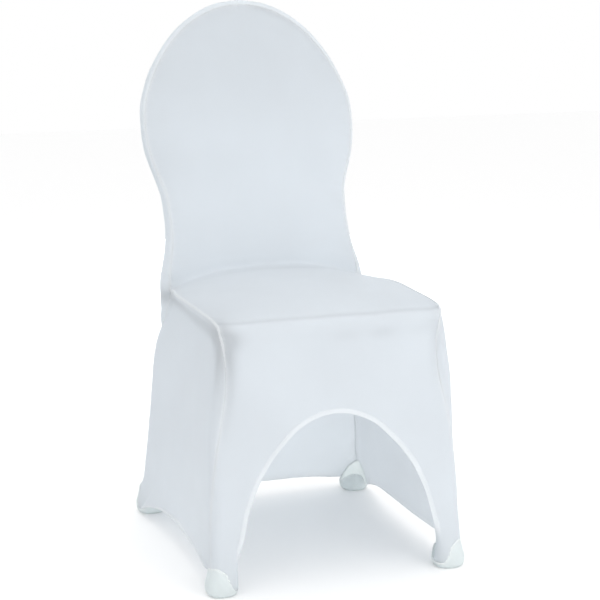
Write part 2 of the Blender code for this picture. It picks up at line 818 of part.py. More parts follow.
def build_cover():
    for old in list(bpy.data.objects):
        bpy.data.objects.remove(old, do_unlink=True)
    home = bpy.data.collections.new("stretch_chair_cover")
    bpy.context.scene.collection.children.link(home)
    holder = bpy.data.objects.new("held_at", None)
    home.objects.link(holder)
    holder.location = (-HELD_AT[0], -HELD_AT[1], -HELD_AT[2])
    spandex = (0.93, 0.94, 0.96)
    front_cloth = material("front_spandex", spandex, 0.72)
    back_cloth = material("back_spandex", spandex, 0.72)
    left_cloth = material("left_spandex", spandex, 0.72)
    right_cloth = material("right_spandex", spandex, 0.72)
    pocket_cloth = material("pocket_cloth", (0.90, 0.94, 0.92), 0.55)

    inner = eased_rows(inner_back_grid(SEAT_ACROSS), 0.0, SEAM_EASE)
    way = inner[1][0] - inner[0][0]
    top = inner[0][0] + way / np.linalg.norm(way) * SEAM_EASE
    inner[0] = [top for point in inner[0]]
    seat = eased_rows(seat_grid(SEAT_ACROSS), 0.0, SEAM_EASE)
    apron = apron_grid(SEAT_ACROSS, APRON_ROWS)
    front_edge = [line[0] for line in apron[:len(SEAT_ACROSS)]]
    upper = inner + seat + [front_edge]
    sheet("front_panel", [upper, transposed(apron)], [0, 2], False, True, front_cloth, home, holder)

    rear_cloth = with_hem(back_panel_grid())
    sheet("back_panel", [rear_cloth], [2], False, True, back_cloth, home, holder)

    right_side = with_hem(side_panel_grid(RIGHT_HEM, False))
    right_side = transposed(eased_rows(transposed(right_side), SEAM_EASE, 0.0))
    sheet("side_panel_right", [right_side], [2], False, False, right_cloth, home, holder)
    left_side = with_hem(side_panel_grid(LEFT_HEM, True))
    left_side = mirrored(transposed(eased_rows(transposed(left_side), SEAM_EASE, 0.0)))
    sheet("side_panel_left", [left_side], [2], True, False, left_cloth, home, holder)

    places = (
        ("foot_pocket_front_left", FRONT_FOOT, FRONT_HEM_TURNS, FRONT_SIDE_TURNS, -1.0),
        ("foot_pocket_front_right", FRONT_FOOT, FRONT_HEM_TURNS, FRONT_SIDE_TURNS, 1.0),
        ("foot_pocket_rear_left", REAR_FOOT, REAR_HEM_TURNS, REAR_SIDE_TURNS, -1.0),
        ("foot_pocket_rear_right", REAR_FOOT, REAR_HEM_TURNS, REAR_SIDE_TURNS, 1.0),
    )
    for name, foot, hem_turns, side_turns, side in places:
        over = side * np.sign(foot[1]) > 0.0
        pocket = pocket_grid(foot, hem_turns, side_turns, side)
        sheet(name, [pocket], [0], over, False, pocket_cloth, home, holder)


build_cover()
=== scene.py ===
"""Stretch cover for a round-backed banquet chair: knitted cloth with its seams, hems and pockets.

Metres, +Z up. The shape is drawn with the floor at the soles of the foot pockets and the seat
facing -Y, then moved so that the origin is where the cover is held.
"""
import bmesh
import bpy
import numpy as np
from mathutils import Matrix, Vector
from mathutils.kdtree import KDTree


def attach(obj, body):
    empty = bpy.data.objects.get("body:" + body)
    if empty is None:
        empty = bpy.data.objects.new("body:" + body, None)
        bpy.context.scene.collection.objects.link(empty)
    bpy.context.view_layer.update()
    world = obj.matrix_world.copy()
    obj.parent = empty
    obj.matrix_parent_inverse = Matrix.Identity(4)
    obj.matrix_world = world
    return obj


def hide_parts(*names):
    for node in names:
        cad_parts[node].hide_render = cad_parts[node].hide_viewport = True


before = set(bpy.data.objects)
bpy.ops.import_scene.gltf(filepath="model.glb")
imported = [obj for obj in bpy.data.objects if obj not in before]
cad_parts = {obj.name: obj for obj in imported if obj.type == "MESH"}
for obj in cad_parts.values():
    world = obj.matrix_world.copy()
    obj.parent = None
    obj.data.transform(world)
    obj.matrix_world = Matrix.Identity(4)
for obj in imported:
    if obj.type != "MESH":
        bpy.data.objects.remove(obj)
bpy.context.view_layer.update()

# Cloth
CLOTH = 0.0012
HEM_CLOTH = 0.0022
HEM_WIDTH = 0.0075
HEM_STEP = 0.0010

# Backrest plane: a point of its middle plane and its lean to the rear
BACK_FOOT = (0.1718, 0.4440)
BACK_LEAN = 0.2671
TOP_RISE = 0.5030
BACK_CROWN = 0.008
REAR_CROWN = 0.003
REAR_CROWN_REACH = 0.1
# Rounds of the rim band as parts of its depth
FRONT_ROUND = 0.22
REAR_ROUND = 0.30
# The inside of the backrest is fullest at this rise, and falls off below it
CROWN_LEVEL = 0.2
CROWN_LOW_LOSS = 0.7
CROWN_LOW_REACH = 0.24

# Rise along the backrest, half width, depth from front to rear, seam set in from the edge
BACK_COLUMNS = ("rise", "half_width", "depth", "inset")
BACK = (
    (-0.0300, 0.1880, 0.0480, 0.0115),
    (-0.0060, 0.1875, 0.0475, 0.0095),
    (0.0200, 0.1820, 0.0465, 0.0075),
    (0.0464, 0.1752, 0.0450, 0.0058),
    (0.0726, 0.1710, 0.0425, 0.0050),
    (0.0990, 0.1695, 0.0390, 0.0046),
    (0.1250, 0.1700, 0.0345, 0.0045),
    (0.1515, 0.1724, 0.0300, 0.0045),
    (0.1780, 0.1802, 0.0265, 0.0045),
    (0.2040, 0.1890, 0.0250, 0.0045),
    (0.2300, 0.1957, 0.0242, 0.0045),
    (0.2565, 0.1992, 0.0237, 0.0046),
    (0.2830, 0.2003, 0.0232, 0.0048),
    (0.3000, 0.1997, 0.0230, 0.0050),
    (0.3127, 0.1983, 0.0228, 0.0052),
    (0.4000, 0.1660, 0.0220, 0.0066),
    (0.5030, 0.0000, 0.0210, 0.0085),
)
# The seat meets the backrest in a curve: its rise at the middle and at the rim
JUNCTION_RISE = (0.0124, -0.0207)
JUNCTION_CURVE = 2.2
JUNCTION_REACH = 0.11
SLOPE_STEP = 0.001
BACK_ROWS_BELOW = (
    -0.0207, 0.0000, 0.0200, 0.0464, 0.0726, 0.0990, 0.1250,
    0.1515, 0.1780, 0.1910, 0.2040, 0.2170, 0.2300, 0.2565, 0.2830, 0.3000,
)
# Above them the edge is part of an ellipse: its middle, half width and turns from the side
CROWN_RISE = 0.2340
CROWN_HALF_WIDTH = 0.2074
CROWN_TURNS = (17.0, 26.0, 35.0, 44.0, 53.0, 61.5, 70.0, 78.0, 90.0)

# Seat rows from the junction to the front: y and z at the middle, then y, x and z at the side seam
SEAT = (
    (0.1380, 0.4630, 0.1300, 0.1790, 0.4320),
    (0.1200, 0.4640, 0.1120, 0.1815, 0.4352),
    (0.0920, 0.4655, 0.0860, 0.1866, 0.4388),
    (0.0600, 0.4665, 0.0560, 0.1932, 0.4420),
    (0.0200, 0.4670, 0.0180, 0.1982, 0.4446),
    (-0.0250, 0.4665, -0.0250, 0.1992, 0.4454),
    (-0.0700, 0.4645, -0.0700, 0.1984, 0.4452),
    (-0.1080, 0.4615, -0.1060, 0.1978, 0.4452),
    (-0.1380, 0.4578, -0.1340, 0.1974, 0.4449),
    (-0.1600, 0.4538, -0.1550, 0.1970, 0.4442),
    (-0.1760, 0.4495, -0.1705, 0.1964, 0.4431),
    (-0.1880, 0.4450, -0.1820, 0.1955, 0.4415),
    (-0.1957, 0.4406, -0.1900, 0.1943, 0.4388),
    (-0.2003, 0.4345, -0.1955, 0.1929, 0.4343),
)
# How late the rows bend to the side seam, and how flat the seat is across
SEAT_BEND = 8
SEAT_FULLNESS = 2.4

# Front legs by height: front face, middle and radius of the corner, seam along the cloth,
# and how far along the arch hem the cloth reaches there
FRONT_COLUMNS = ("z", "front", "middle", "radius", "seam", "hem")
FRONT = (
    (0.0460, -0.2435, 0.2010, 0.0190, 0.2290, 1.000),
    (0.0660, -0.2402, 0.2012, 0.0183, 0.2272, 0.875),
    (0.0950, -0.2367, 0.2008, 0.0177, 0.2250, 0.785),
    (0.1300, -0.2327, 0.2003, 0.0175, 0.2213, 0.690),
    (0.1670, -0.2287, 0.1990, 0.0175, 0.2166, 0.600),
    (0.2080, -0.2242, 0.1966, 0.0175, 0.2100, 0.530),
    (0.2490, -0.2197, 0.1960, 0.0177, 0.2030, 0.475),
    (0.2900, -0.2152, 0.1948, 0.0185, 0.1945, 0.435),
    (0.3240, -0.2114, 0.1928, 0.0197, 0.1875, 0.400),
    (0.3510, -0.2082, 0.1898, 0.0210, 0.1846, 0.370),
    (0.3715, -0.2060, 0.1868, 0.0215, 0.1846, 0.345),
    (0.3950, -0.2040, 0.1852, 0.0203, 0.1862, 0.315),
    (0.4120, -0.2030, 0.1836, 0.0190, 0.1885, 0.290),
    (0.4250, -0.2022, 0.1798, 0.0180, 0.1918, 0.270),
)
# Dip of the cloth beside the leg seam, by height
SEAM_DIP = (
    (0.2400, 0.0000),
    (0.3000, 0.0014),
    (0.3500, 0.0040),
    (0.3900, 0.0052),
    (0.4200, 0.0026),
    (0.4400, 0.0000),
)
SEAM_DIP_REACH = 0.014

# The left front seam is drawn in more: by how much the corner there is smaller
PINCH = (
    (0.2700, 0.0000),
    (0.3150, 0.0070),
    (0.3600, 0.0115),
    (0.4000, 0.0080),
    (0.4250, 0.0000),
)

# Arch hem of the front apron: half width and height, from the crown to the foot
ARCH = (
    (0.0000, 0.2825),
    (0.0240, 0.2797),
    (0.0507, 0.2700),
    (0.0733, 0.2557),
    (0.0960, 0.2335),
    (0.1125, 0.2150),
    (0.1262, 0.1960),
    (0.1373, 0.1776),
    (0.1512, 0.1467),
    (0.1577, 0.1274),
    (0.1643, 0.1004),
    (0.1684, 0.0810),
    (0.1708, 0.0610),
    (0.1735, 0.0400),
    (0.1752, 0.0200),
)
ARCH_STEPS = 141

# Rear corner by height: side face, rear face, corner radius, and the seam's place
REAR_COLUMNS = ("z", "side", "rear", "radius", "seam_x", "seam_y")
REAR = (
    (0.0460, 0.2165, 0.2380, 0.0190, 0.2109, 0.2324),
    (0.0660, 0.2150, 0.2335, 0.0183, 0.2096, 0.2281),
    (0.0950, 0.2126, 0.2288, 0.0177, 0.2074, 0.2236),
    (0.1300, 0.2096, 0.2248, 0.0175, 0.2045, 0.2197),
    (0.1670, 0.2068, 0.2207, 0.0175, 0.2017, 0.2156),
    (0.2080, 0.2038, 0.2162, 0.0175, 0.1987, 0.2111),
    (0.2490, 0.2014, 0.2118, 0.0175, 0.1963, 0.2067),
    (0.2900, 0.1990, 0.2074, 0.0172, 0.1940, 0.2024),
    (0.3157, 0.1958, 0.2044, 0.0165, 0.1910, 0.1996),
    (0.3380, 0.1906, 0.2008, 0.0145, 0.1864, 0.1966),
    (0.3560, 0.1848, 0.1980, 0.0110, 0.1816, 0.1908),
    (0.3700, 0.1852, 0.1970, 0.0105, 0.1797, 0.1806),
    (0.3900, 0.1863, 0.1956, 0.0105, 0.1785, 0.1690),
    (0.4100, 0.1874, 0.1942, 0.0105, 0.1778, 0.1562),
    (0.4200, 0.1879, 0.1934, 0.0105, 0.1775, 0.1504),
    (0.4300, 0.1883, 0.1927, 0.0105, 0.1772, 0.1446),
)
REAR_ROW_DROP = 0.0130
REAR_ROW_LEVEL = 0.3500
# Beyond this part of the half width the rear hem runs straight to the pocket
REAR_HEM_BEND = 0.88
# Beside the rim band the corner runs straight before its round: least length, and its slant
CORNER_FLAT = 0.004
CORNER_SLANT = 1.3

# Side panels: the cloth just under the seat seam stands out, by its share and its drop
SEAT_SIDE_SHARE = 0.55
SEAT_SIDE_OUT = 0.004
SEAT_SIDE_DROP = 0.012

# Hems of the sides, their height and how squarely they rise, and of the rear
LEFT_HEM = (0.0460, 2.2)
RIGHT_HEM = (0.0320, 2.5)
SIDE_HEM_INSET = 0.0090
SIDE_HEM_OUT = 0.0040
SIDE_BOW = 0.0110
SIDE_BOW_REACH = 0.9
REAR_HEM_RISE = 0.0270
REAR_BOW = 0.0040
REAR_HEM_SQUARE = 4

# Foot pockets
FRONT_FOOT = (0.2018, -0.2255)
REAR_FOOT = (0.2025, 0.2190)
# Half width of a pocket, by height
POCKET = (
    (0.0012, 0.0210),
    (0.0030, 0.0231),
    (0.0070, 0.0246),
    (0.0140, 0.0250),
    (0.0250, 0.0230),
    (0.0380, 0.0200),
    (0.0560, 0.0178),
)
POCKET_SQUARENESS = 2.6
# Rim of a pocket round the foot, its height by the turn. At the front the apron comes down on the
# inner side and the rim stands high outward; at the rear it is high on the outer corner and low
# where the side ends
FRONT_RIM = (
    (-95.0, 0.0080),
    (-60.0, 0.0080),
    (-42.0, 0.0088),
    (-27.0, 0.0125),
    (-14.0, 0.0235),
    (0.0, 0.0395),
    (35.0, 0.0470),
    (80.0, 0.0450),
    (104.0, 0.0420),
    (128.0, 0.0380),
    (151.0, 0.0325),
    (198.0, 0.0320),
    (222.0, 0.0290),
    (246.0, 0.0180),
    (256.0, 0.0100),
    (265.0, 0.0080),
)
REAR_RIM = (
    (-50.0, 0.0150),
    (-38.0, 0.0170),
    (-21.0, 0.0270),
    (-4.0, 0.0380),
    (12.0, 0.0440),
    (45.0, 0.0480),
    (72.0, 0.0400),
    (100.0, 0.0110),
    (128.0, 0.0080),
    (150.0, 0.0105),
    (174.0, 0.0300),
    (198.0, 0.0330),
    (222.0, 0.0300),
    (246.0, 0.0240),
    (270.0, 0.0175),
    (291.0, 0.0150),
    (310.0, 0.0150),
)
# The free inner side of a pocket flares a little
INNER_FLARE = 0.10
POCKET_REACH = 0.0310
POCKET_WALL_FOOT = 0.0070
# Turns round a pocket: along the rear panel's hem, and from each side seam along the side panel
REAR_HEM_TURNS = (-50.0, -38.0, -21.0, -4.0, 12.0, 29.0, 45.0)
FRONT_SIDE_TURNS = (80.0, 92.0, 104.0, 116.0, 128.0)
REAR_SIDE_TURNS = (45.0, 72.0, 100.0, 128.0)
# Cloth lower than this beside a foot is at its pocket
POCKET_TOP = 0.06
SIDES = (("left", -1.0), ("right", 1.0))
# Flat size and area of the panels' cloth, with what each rests on, and of a pocket's
PANELS = (
    ("front", "front_panel", (0.45, 1.28), 0.40, "back_panel"),
    ("back", "back_panel", (0.52, 0.98), 0.376, "front_panel"),
    ("left", "side_panel_left", (0.45, 0.43), 0.172, "front_panel"),
    ("right", "side_panel_right", (0.45, 0.43), 0.178, "front_panel"),
)
POCKET_FLAT = (0.10, 0.10)
POCKET_AREA = 0.0058

# Where the cover is held: inside the top of the backrest
HELD_AT = (0.0, 0.3045, 0.9270)

# Points closer than WELD are one, and faces narrower than SLIVER are closed up
WELD = 0.00002
SLIVER = 0.000005
# Hem weights closer than this count as one
SHARE_STEP = 0.0006
MIRROR = np.array([-1.0, 1.0, 1.0])
TO_HELD = Matrix.Translation((-HELD_AT[0], -HELD_AT[1], -HELD_AT[2]))

# Finer sampling of the cloth
ALONG_STEP = 0.0026
LEG_STEP = 0.0040
WIDE_STEP = 0.0072
SEAM_STATIONS = (0.0, 0.0008, 0.0016, 0.0025, 0.0036, 0.0050, 0.0068, 0.0092, 0.0128, 0.0180)
HEM_STATIONS = (0.0, 0.0012, 0.0028, 0.0046, 0.0060, 0.0070, 0.0078, 0.0088, 0.0104, 0.0130, 0.0175)
RIM_PARTS = (
    0.0, 0.02, 0.045, 0.075, 0.11, 0.15, 0.20, 0.26, 0.33, 0.40, 0.48,
    0.56, 0.64, 0.72, 0.80, 0.87, 0.94, 1.0,
)
# Stations across the seat and along the apron, and the points and passes of the sections
HALF_SEAT = 0.2
LINE_PARTS = 34
REAR_PARTS = (1.0, 0.985, 0.965, 0.94, 0.91)
REAR_WIDE_PARTS = 24
ROUND_POINTS = 16
CORNER_POINTS = 61
CORNER_PASSES = 24
SIDE_ROUND_POINTS = (14, 8)
SIDE_PATH_POINTS = 40
SIDE_POINTS = 161
SIDE_PASSES = 6
SIDE_HEM_PASSES = 4
# Rows to the first, second and last gap of the side panels, and to the last gap of the back panel
SIDE_COUNTS = (6, 5, 12)
BACK_LAST_COUNT = 14
# The cloth just under the seat seam reaches its full form this far from the seam's ends
SEAM_END_FADE = 0.03
# The seat's rows run on below its front edge, so that the last one meets the apron smoothly
RUN_ON = (0.0, 0.015, 0.035, 0.06)
# Rounding of the crease between backrest and seat: its reach in rows, and passes
CREASE_ROWS = 11
CREASE_PASSES = 26
CREASE_CALM = 8
# The rim band is fitted to the seam over this distance
RIM_FIT_REACH = 0.02
# Pockets: stations round, rows down the wall, heights and rows of the sole, stations of the rim
POCKET_STATIONS = 145
POCKET_ROWS = 17
SOLE_HEIGHTS = (0.0058, 0.0046, 0.0036, 0.0028, 0.0021, 0.0016, POCKET[0][0])
SOLE_ROWS = 10
SOLE_FIRST = 0.9
RIM_STATIONS = 241

# How far the apron has wrapped round the foot, by the height of the leg seam
NEAR_FOOT = ((0.0460, 1.0), (0.0660, 0.4), (0.0950, 0.0), (0.5, 0.0))
# A panel reaches this far below a pocket's rim
PANEL_LAP = 0.0004
# Turn round the front foot against the part of the apron's last line, seam to hem
FOOT_WRAP = ((0.0, 80.0), (0.27, 40.0), (0.52, 0.0), (0.70, -22.0), (0.877, -50.0), (1.0, -95.0))

# Seams show as narrow raised ridges of doubled cloth, with small puckers beside them
RIDGE_STEP = 0.0015
RIDGE_SIDES = 10
RIDGE_HALF_WIDTH = 0.0021
RIDGE_HALF_HEIGHT = 0.0012
RIDGE_RIPPLE = 0.22
POCKET_RIDGE = (0.0015, 0.0007)
RIDGE_SWAY = 0.00018
RIDGE_ENDS = (0.25, 0.6, 0.85, 0.95)
RIDGE_PASSES = 3
RIDGE_WRAP = 0.002
SEAM_MARK = 0.0030
RIM_RIPPLES = 23
PUCKER_HEIGHT = 0.00035
PUCKER_REACH = 0.0045
PUCKER_PITCH = 0.0085
PUCKER_END = 0.04
RIPPLE_SCALES = (1.0, 0.73, 1.37, 0.52)
RIPPLE_SUM = 2.4
# The left half's puckers are read this much further on, so that the halves differ
LEFT_SHIFT = 7.0
LINE_STEP = 0.0005

# Soft forms of the taut cloth
BROAD_HEIGHT = 0.00055
BROAD_WAVES = 14
BROAD_LENGTHS = (0.05, 0.15)
BROAD_CALM = 0.016
BROAD_SEED = 50
CRUMPLE_HEIGHT = 0.00045
CRUMPLE_LENGTHS = (0.008, 0.024)
CRUMPLE_WAVES = 12
CRUMPLE_START = (0.002, 0.012)
CRUMPLE_SEED = 7
# Front seam ridge: lean to the side on the leg and above, size on the backrest and how much more
# beside the seat, size on the leg and how much more at its top, and lift. Rear: size and lift
RIDGE_LEAN = (0.30, 0.85)
SEAT_RIDGE = (0.78, 0.42)
SEAT_RIDGE_HEIGHTS = (-0.47, -0.452)
LEG_RIDGE = (0.42, 0.78)
LEG_RIDGE_DROPS = (0.012, 0.075)
FRONT_RIDGE_LIFT = 0.0010
REAR_RIDGE = (0.40, 0.0014)
FRONT_SEED = 11
REAR_SEED = 12
# Rows of a seam line left out before its ridge starts
FRONT_SKIP = 2
REAR_SKIP = 3

# Creases below the front corners. Each has its strength, the middle and width of its distance from
# the seam and of its drop below the corner, where it starts, and whether it fades to the rear
CORNER_DIPS = (
    (0.0017, (0.0062, 0.0032), (0.022, 0.036), -0.02, True),
    (0.0030, (0.0150, 0.0095), (0.018, 0.026), -0.01, False),
)
# Painted shade: how much darker the cloth is drawn along these creases
CORNER_SHADES = (
    (1.00, (0.0060, 0.0120), (0.030, 0.045), -0.02, True),
    (1.00, (0.0120, 0.0200), (0.008, 0.016), -1.0, False),
    (0.40, (0.0070, 0.0085), (0.105, 0.050), -1.0, True),
)
CORNER_FADE = 0.07
RIGHT_CREASES = 0.15
# Forms along the seat's front edge: height or painted shade, then middle and width from the edge
EDGE_SWELL = (0.0006, 0.0125, 0.0030)
EDGE_SWELL_END = (0.150, 0.185)
EDGE_TROUGH = (0.0011, 0.0195, 0.0032)
EDGE_SHADE = (0.45, 0.0185, 0.0036)
# Soft dips under that edge: depth, painted shade, places down and across, and their wave across
UNDER_DEPTH = 0.0007
UNDER_SHADE = 0.42
UNDER_DOWN = (0.0150, 0.0095)
UNDER_ACROSS = (0.075, 0.075)
UNDER_WAVE = (0.6, 0.4, 88.0)
# Painted shade on the seat in front of the backrest: strength and place along, place across, least
# height
BACKREST_SHADE = (0.30, 0.108, 0.017)
BACKREST_SHADE_ACROSS = (0.05, 0.13)
SEAT_LEVEL = 0.44

# Stitches of the hems
STITCH_PITCH = 0.0033
STITCH_HALF = 0.00125
STITCH_RADIUS = 0.00024
STITCH_ROWS = (0.0066, 0.0042)
# Rings of a stitch: place along it, width and lift as parts of its half length and radius
STITCH_RINGS = ((-1.0, 0.45, -0.5), (-0.62, 0.95, 0.35), (0.62, 0.95, 0.35), (1.0, 0.45, -0.5))
STITCH_SIDES = 6
STITCH_LIFT = 0.4
STITCH_FIRMNESS = 0.6
LEAST_RUN = 3

# Colours
WHITE = (0.845, 0.870, 0.892)
# Painted light: the back panel's cloth is drawn paler than the same cloth elsewhere, for the light on
# its rim band and outer back
LIT_BACK_WHITE = (0.866, 0.891, 0.911)
FIRM_WHITE = (0.905, 0.925, 0.94)
THREAD_WHITE = (0.90, 0.925, 0.945)
MILKY = (0.925, 0.957, 0.958)
# Light that shows through the pockets' cloth and through their rolled rims
POCKET_SHINE = 0.60
RIM_SHINE = 0.12

# Places of the first rows along the cloth of each part, for its knit
UPPER_START = 1.3
APRON_START = 0.4
BACK_START = 1.0
SIDE_START = 0.4
POCKET_START = 0.1
# Knit: widths of its loops, the share of light that shows through, less where it is doubled, how much
# paler doubled cloth is, the strength and tone of the shade painted into its creases and along its
# edges, and the spread of its random tone
WALE_PITCH = 0.0009
COURSE_PITCH = 0.0008
SHINE_THROUGH = 0.58
FIRM_LOSS = 0.12
FIRM_PALENESS = 0.55
CREASE_SHADE = 0.27
PAINTED_SHADE_TONE = 0.5
TONES = (0.965, 1.035)
# Painted shade: share and heights over which the backrest's cloth is drawn darker towards its top
BACKREST_TOP_SHADE = 0.07
BACKREST_TOP_SHADE_HEIGHTS = (-0.36, 0.02)
# Uneven tone and grain: scale, detail, and stretch
STREAKS = (38.0, 3.0, (1.0, 1.0, 0.14))
STREAK_SHARE = 0.30
CLOUDS = (7.0, 2.0)
FINE_GRAIN = (900.0, 2.0)
THREAD_CLOUDS = (320.0, 2.0)
THREAD_TONE = 0.93
POCKET_CLOUDS = (26.0, 3.0)
POCKET_CRUMPLES = (70.0, 5.0)
POCKET_GRAIN = (1400.0, 2.0)
POCKET_GRAIN_SHARE = 0.06
# The panels' tones differ by this much in scale
SEED_STEP = 0.37
SWAY = 0.8
LOOP_RELIEF = 0.6
GRAIN_RELIEF = 0.8
# Surfaces by their settings, and the strength and depth of their fine relief
KNIT_SURFACE = (
    ("Roughness", 0.62), ("Specular IOR Level", 0.30), ("Sheen Weight", 0.18), ("Sheen Roughness", 0.40),
)
KNIT_RELIEF = (0.35, 0.00022)
THREAD_SURFACE = (("Roughness", 0.45), ("Sheen Weight", 0.25))
THREAD_RELIEF = (0.4, 0.00008)
PLY_PITCH = 0.0005
PLY_SLANT = 0.0002
POCKET_SURFACE = (
    ("Roughness", 0.38), ("Specular IOR Level", 0.45), ("Coat Weight", 0.12), ("Coat Roughness", 0.30),
)
POCKET_RELIEF = (0.5, 0.0015)

# Floor, lights by name, place, target, side and power, and camera
FLOOR_HALF = 6.0
FLOOR_DROP = 0.0005
FLOOR_PALE = (0.98, 0.98, 0.98, 1.0)
FLOOR_ROUGHNESS = 0.9
STUDIO_WHITE = (1.0, 1.0, 1.0, 1.0)
LIGHTS = (
    ("key", (0.9, -2.6, -0.25), (0.0, -0.2, -0.5), 1.6, 14.5),
    ("top", (0.0, -0.7, 2.0), (0.0, -0.3, -0.45), 2.0, 12.0),
    ("behind", (0.5, 2.6, -0.25), (0.0, 0.1, -0.7), 1.8, 26.0),
)
CAMERA_AT = (-0.9897, -3.1299, 0.1414)
CAMERA_TARGET = (0.0144, -0.3045, -0.4987)
CAMERA_LENS = 105.722
CAMERA_SENSOR = 36.0


def spline(knots, values, at):
    """Natural cubic spline through rows of values, read at the given places."""
    knots = np.asarray(knots, dtype=float)
    values = np.asarray(values, dtype=float)
    flat = values.reshape(len(knots), -1)
    width = np.diff(knots)
    size = len(knots)
    system = np.eye(size)
    load = np.zeros_like(flat)
    for index in range(1, size - 1):
        before = width[index - 1]
        after = width[index]
        system[index, index - 1] = before
        system[index, index] = 2.0 * (before + after)
        system[index, index + 1] = after
        rise_after = (flat[index + 1] - flat[index]) / after
        rise_before = (flat[index] - flat[index - 1]) / before
        load[index] = 6.0 * (rise_after - rise_before)
    bend = np.linalg.solve(system, load)
    at = np.clip(np.atleast_1d(np.asarray(at, dtype=float)), knots[0], knots[-1])
    cell = np.clip(np.searchsorted(knots, at, side="right") - 1, 0, size - 2)
    span = width[cell][:, None]
    near = (knots[cell + 1] - at)[:, None] / span
    far = 1.0 - near
    result = near * flat[cell] + far * flat[cell + 1]
    result += ((near ** 3 - near) * bend[cell] + (far ** 3 - far) * bend[cell + 1]) * span ** 2 / 6.0
    return result.reshape((len(at),) + values.shape[1:])


def column(columns, rows, name):
    place = columns.index(name)
    return [row[place] for row in rows]


def table(columns, rows, name, at):
    """Smooth reading of one table column against the first one."""
    at = np.asarray(at, dtype=float)
    found = spline(column(columns, rows, columns[0]), column(columns, rows, name), at.ravel())
    return found.reshape(at.shape)


def steady(knots, values, at):
    """Smooth reading that never overshoots."""
    knots = np.array(knots, dtype=float)
    values = np.array(values, dtype=float)
    width = np.diff(knots)
    rise = np.diff(values) / width
    slope = np.zeros(len(knots))
    slope[0] = rise[0]
    slope[-1] = rise[-1]
    for index in range(1, len(knots) - 1):
        before = rise[index - 1]
        after = rise[index]
        if before * after > 0.0:
            slope[index] = 2.0 * before * after / (before + after)
    at = np.clip(np.asarray(at, dtype=float), knots[0], knots[-1])
    cell = np.clip(np.searchsorted(knots, at, side="right") - 1, 0, len(width) - 1)
    part = (at - knots[cell]) / width[cell]
    start = values[cell] * (1.0 + 2.0 * part) * (1.0 - part) ** 2
    end = values[cell + 1] * part ** 2 * (3.0 - 2.0 * part)
    lean_in = slope[cell] * width[cell] * part * (1.0 - part) ** 2
    lean_out = slope[cell + 1] * width[cell] * part ** 2 * (part - 1.0)
    return start + end + lean_in + lean_out


def steady_rows(rows, at):
    """Smooth reading of a table of two columns, which never overshoots either."""
    return steady(*zip(*rows), at)


def back(name, rise):
    return table(BACK_COLUMNS, BACK, name, rise)


def front(name, z):
    return table(FRONT_COLUMNS, FRONT, name, z)


def rear(name, z):
    return table(REAR_COLUMNS, REAR, name, z)


def stacked(x, y, z):
    return np.stack(np.broadcast_arrays(x, y, z), axis=-1).astype(float)


def back_points(x, rise, forward):
    """Points of the leaning backrest, forward of its middle plane."""
    y = BACK_FOOT[0] + rise * np.sin(BACK_LEAN) - forward * np.cos(BACK_LEAN)
    z = BACK_FOOT[1] + rise * np.cos(BACK_LEAN) + forward * np.sin(BACK_LEAN)
    return stacked(x, y, z)


def back_outline():
    """Rows of the backrest's edge, bottom to top: half width, rise and outward direction."""
    rows = []
    for rise in BACK_ROWS_BELOW:
        above = float(back("half_width", rise + SLOPE_STEP))
        below = float(back("half_width", rise - SLOPE_STEP))
        lean = (above - below) / (2.0 * SLOPE_STEP)
        length = np.hypot(1.0, lean)
        rows.append((float(back("half_width", rise)), rise, 1.0 / length, -lean / length))
    tall = TOP_RISE - CROWN_RISE
    for turn in np.radians(CROWN_TURNS):
        out_x = np.cos(turn) / CROWN_HALF_WIDTH
        out_rise = np.sin(turn) / tall
        length = np.hypot(out_x, out_rise)
        x = CROWN_HALF_WIDTH * np.cos(turn)
        rise = CROWN_RISE + tall * np.sin(turn)
        rows.append((x, rise, out_x / length, out_rise / length))
    rows[-1] = (0.0, TOP_RISE, 0.0, 1.0)
    return rows


def run_length(points):
    """Length along a line of points, at each of them."""
    return np.concatenate([[0.0], np.cumsum(np.linalg.norm(np.diff(points, axis=0), axis=1))])


def read_along(at, length, values):
    """Columns of values, read at the given lengths."""
    return np.stack([np.interp(at, length, values[:, place]) for place in range(values.shape[1])], 1)


def resampled(points, parts):
    """Points at given parts of the length of a line of points."""
    points = np.asarray(points, dtype=float)
    length = run_length(points)
    return read_along(parts, length / length[-1], points)


def rim_section(row, parts):
    """Section of the rim band at one row of the edge: front seam, round, side, round, rear."""
    x, rise, out_x, out_rise = row
    depth = float(back("depth", rise))
    inset = float(back("inset", rise))
    front_round = FRONT_ROUND * depth
    rear_round = REAR_ROUND * depth
    half = depth / 2.0
    turns = np.linspace(0.0, np.pi / 2.0, ROUND_POINTS)
    inward = np.concatenate([inset * (1.0 - np.sin(turns)), rear_round * (1.0 - np.cos(turns))])
    forward = np.concatenate([
        half - front_round * (1.0 - np.cos(turns)),
        rear_round * (1.0 - np.sin(turns)) - half,
    ])
    flat = resampled(np.stack([inward, forward], 1), parts)
    return back_points(x - flat[:, 0] * out_x, rise - flat[:, 0] * out_rise, flat[:, 1])


def seam_in_plane(row):
    x, rise, out_x, out_rise = row
    inset = float(back("inset", rise))
    return x - inset * out_x, rise - inset * out_rise


def inner_back_rows(across):
    """Inside of the backrest, top row first, from the middle to the rim seam."""
    outline = back_outline()
    seam_low = seam_in_plane(outline[0])[1]
    rows = []
    for row in reversed(outline):
        edge_x, edge_rise = seam_in_plane(row)
        half = float(back("depth", row[1])) / 2.0
        fade = max(0.0, 1.0 - (edge_rise - seam_low) / JUNCTION_REACH) ** 2
        lift = (JUNCTION_RISE[0] - JUNCTION_RISE[1]) * (1.0 - across ** JUNCTION_CURVE)
        rise = edge_rise + lift * fade
        above = 1.0 - (np.maximum(rise - CROWN_LEVEL, 0.0) / (TOP_RISE - CROWN_LEVEL)) ** 2
        below = CROWN_LOW_LOSS * (np.maximum(CROWN_LEVEL - rise, 0.0) / CROWN_LOW_REACH) ** 2
        crown = BACK_CROWN * (1.0 - across ** 2) * np.maximum(0.0, above - below)
        rows.append(back_points(across * edge_x, rise, half + crown))
    return rows


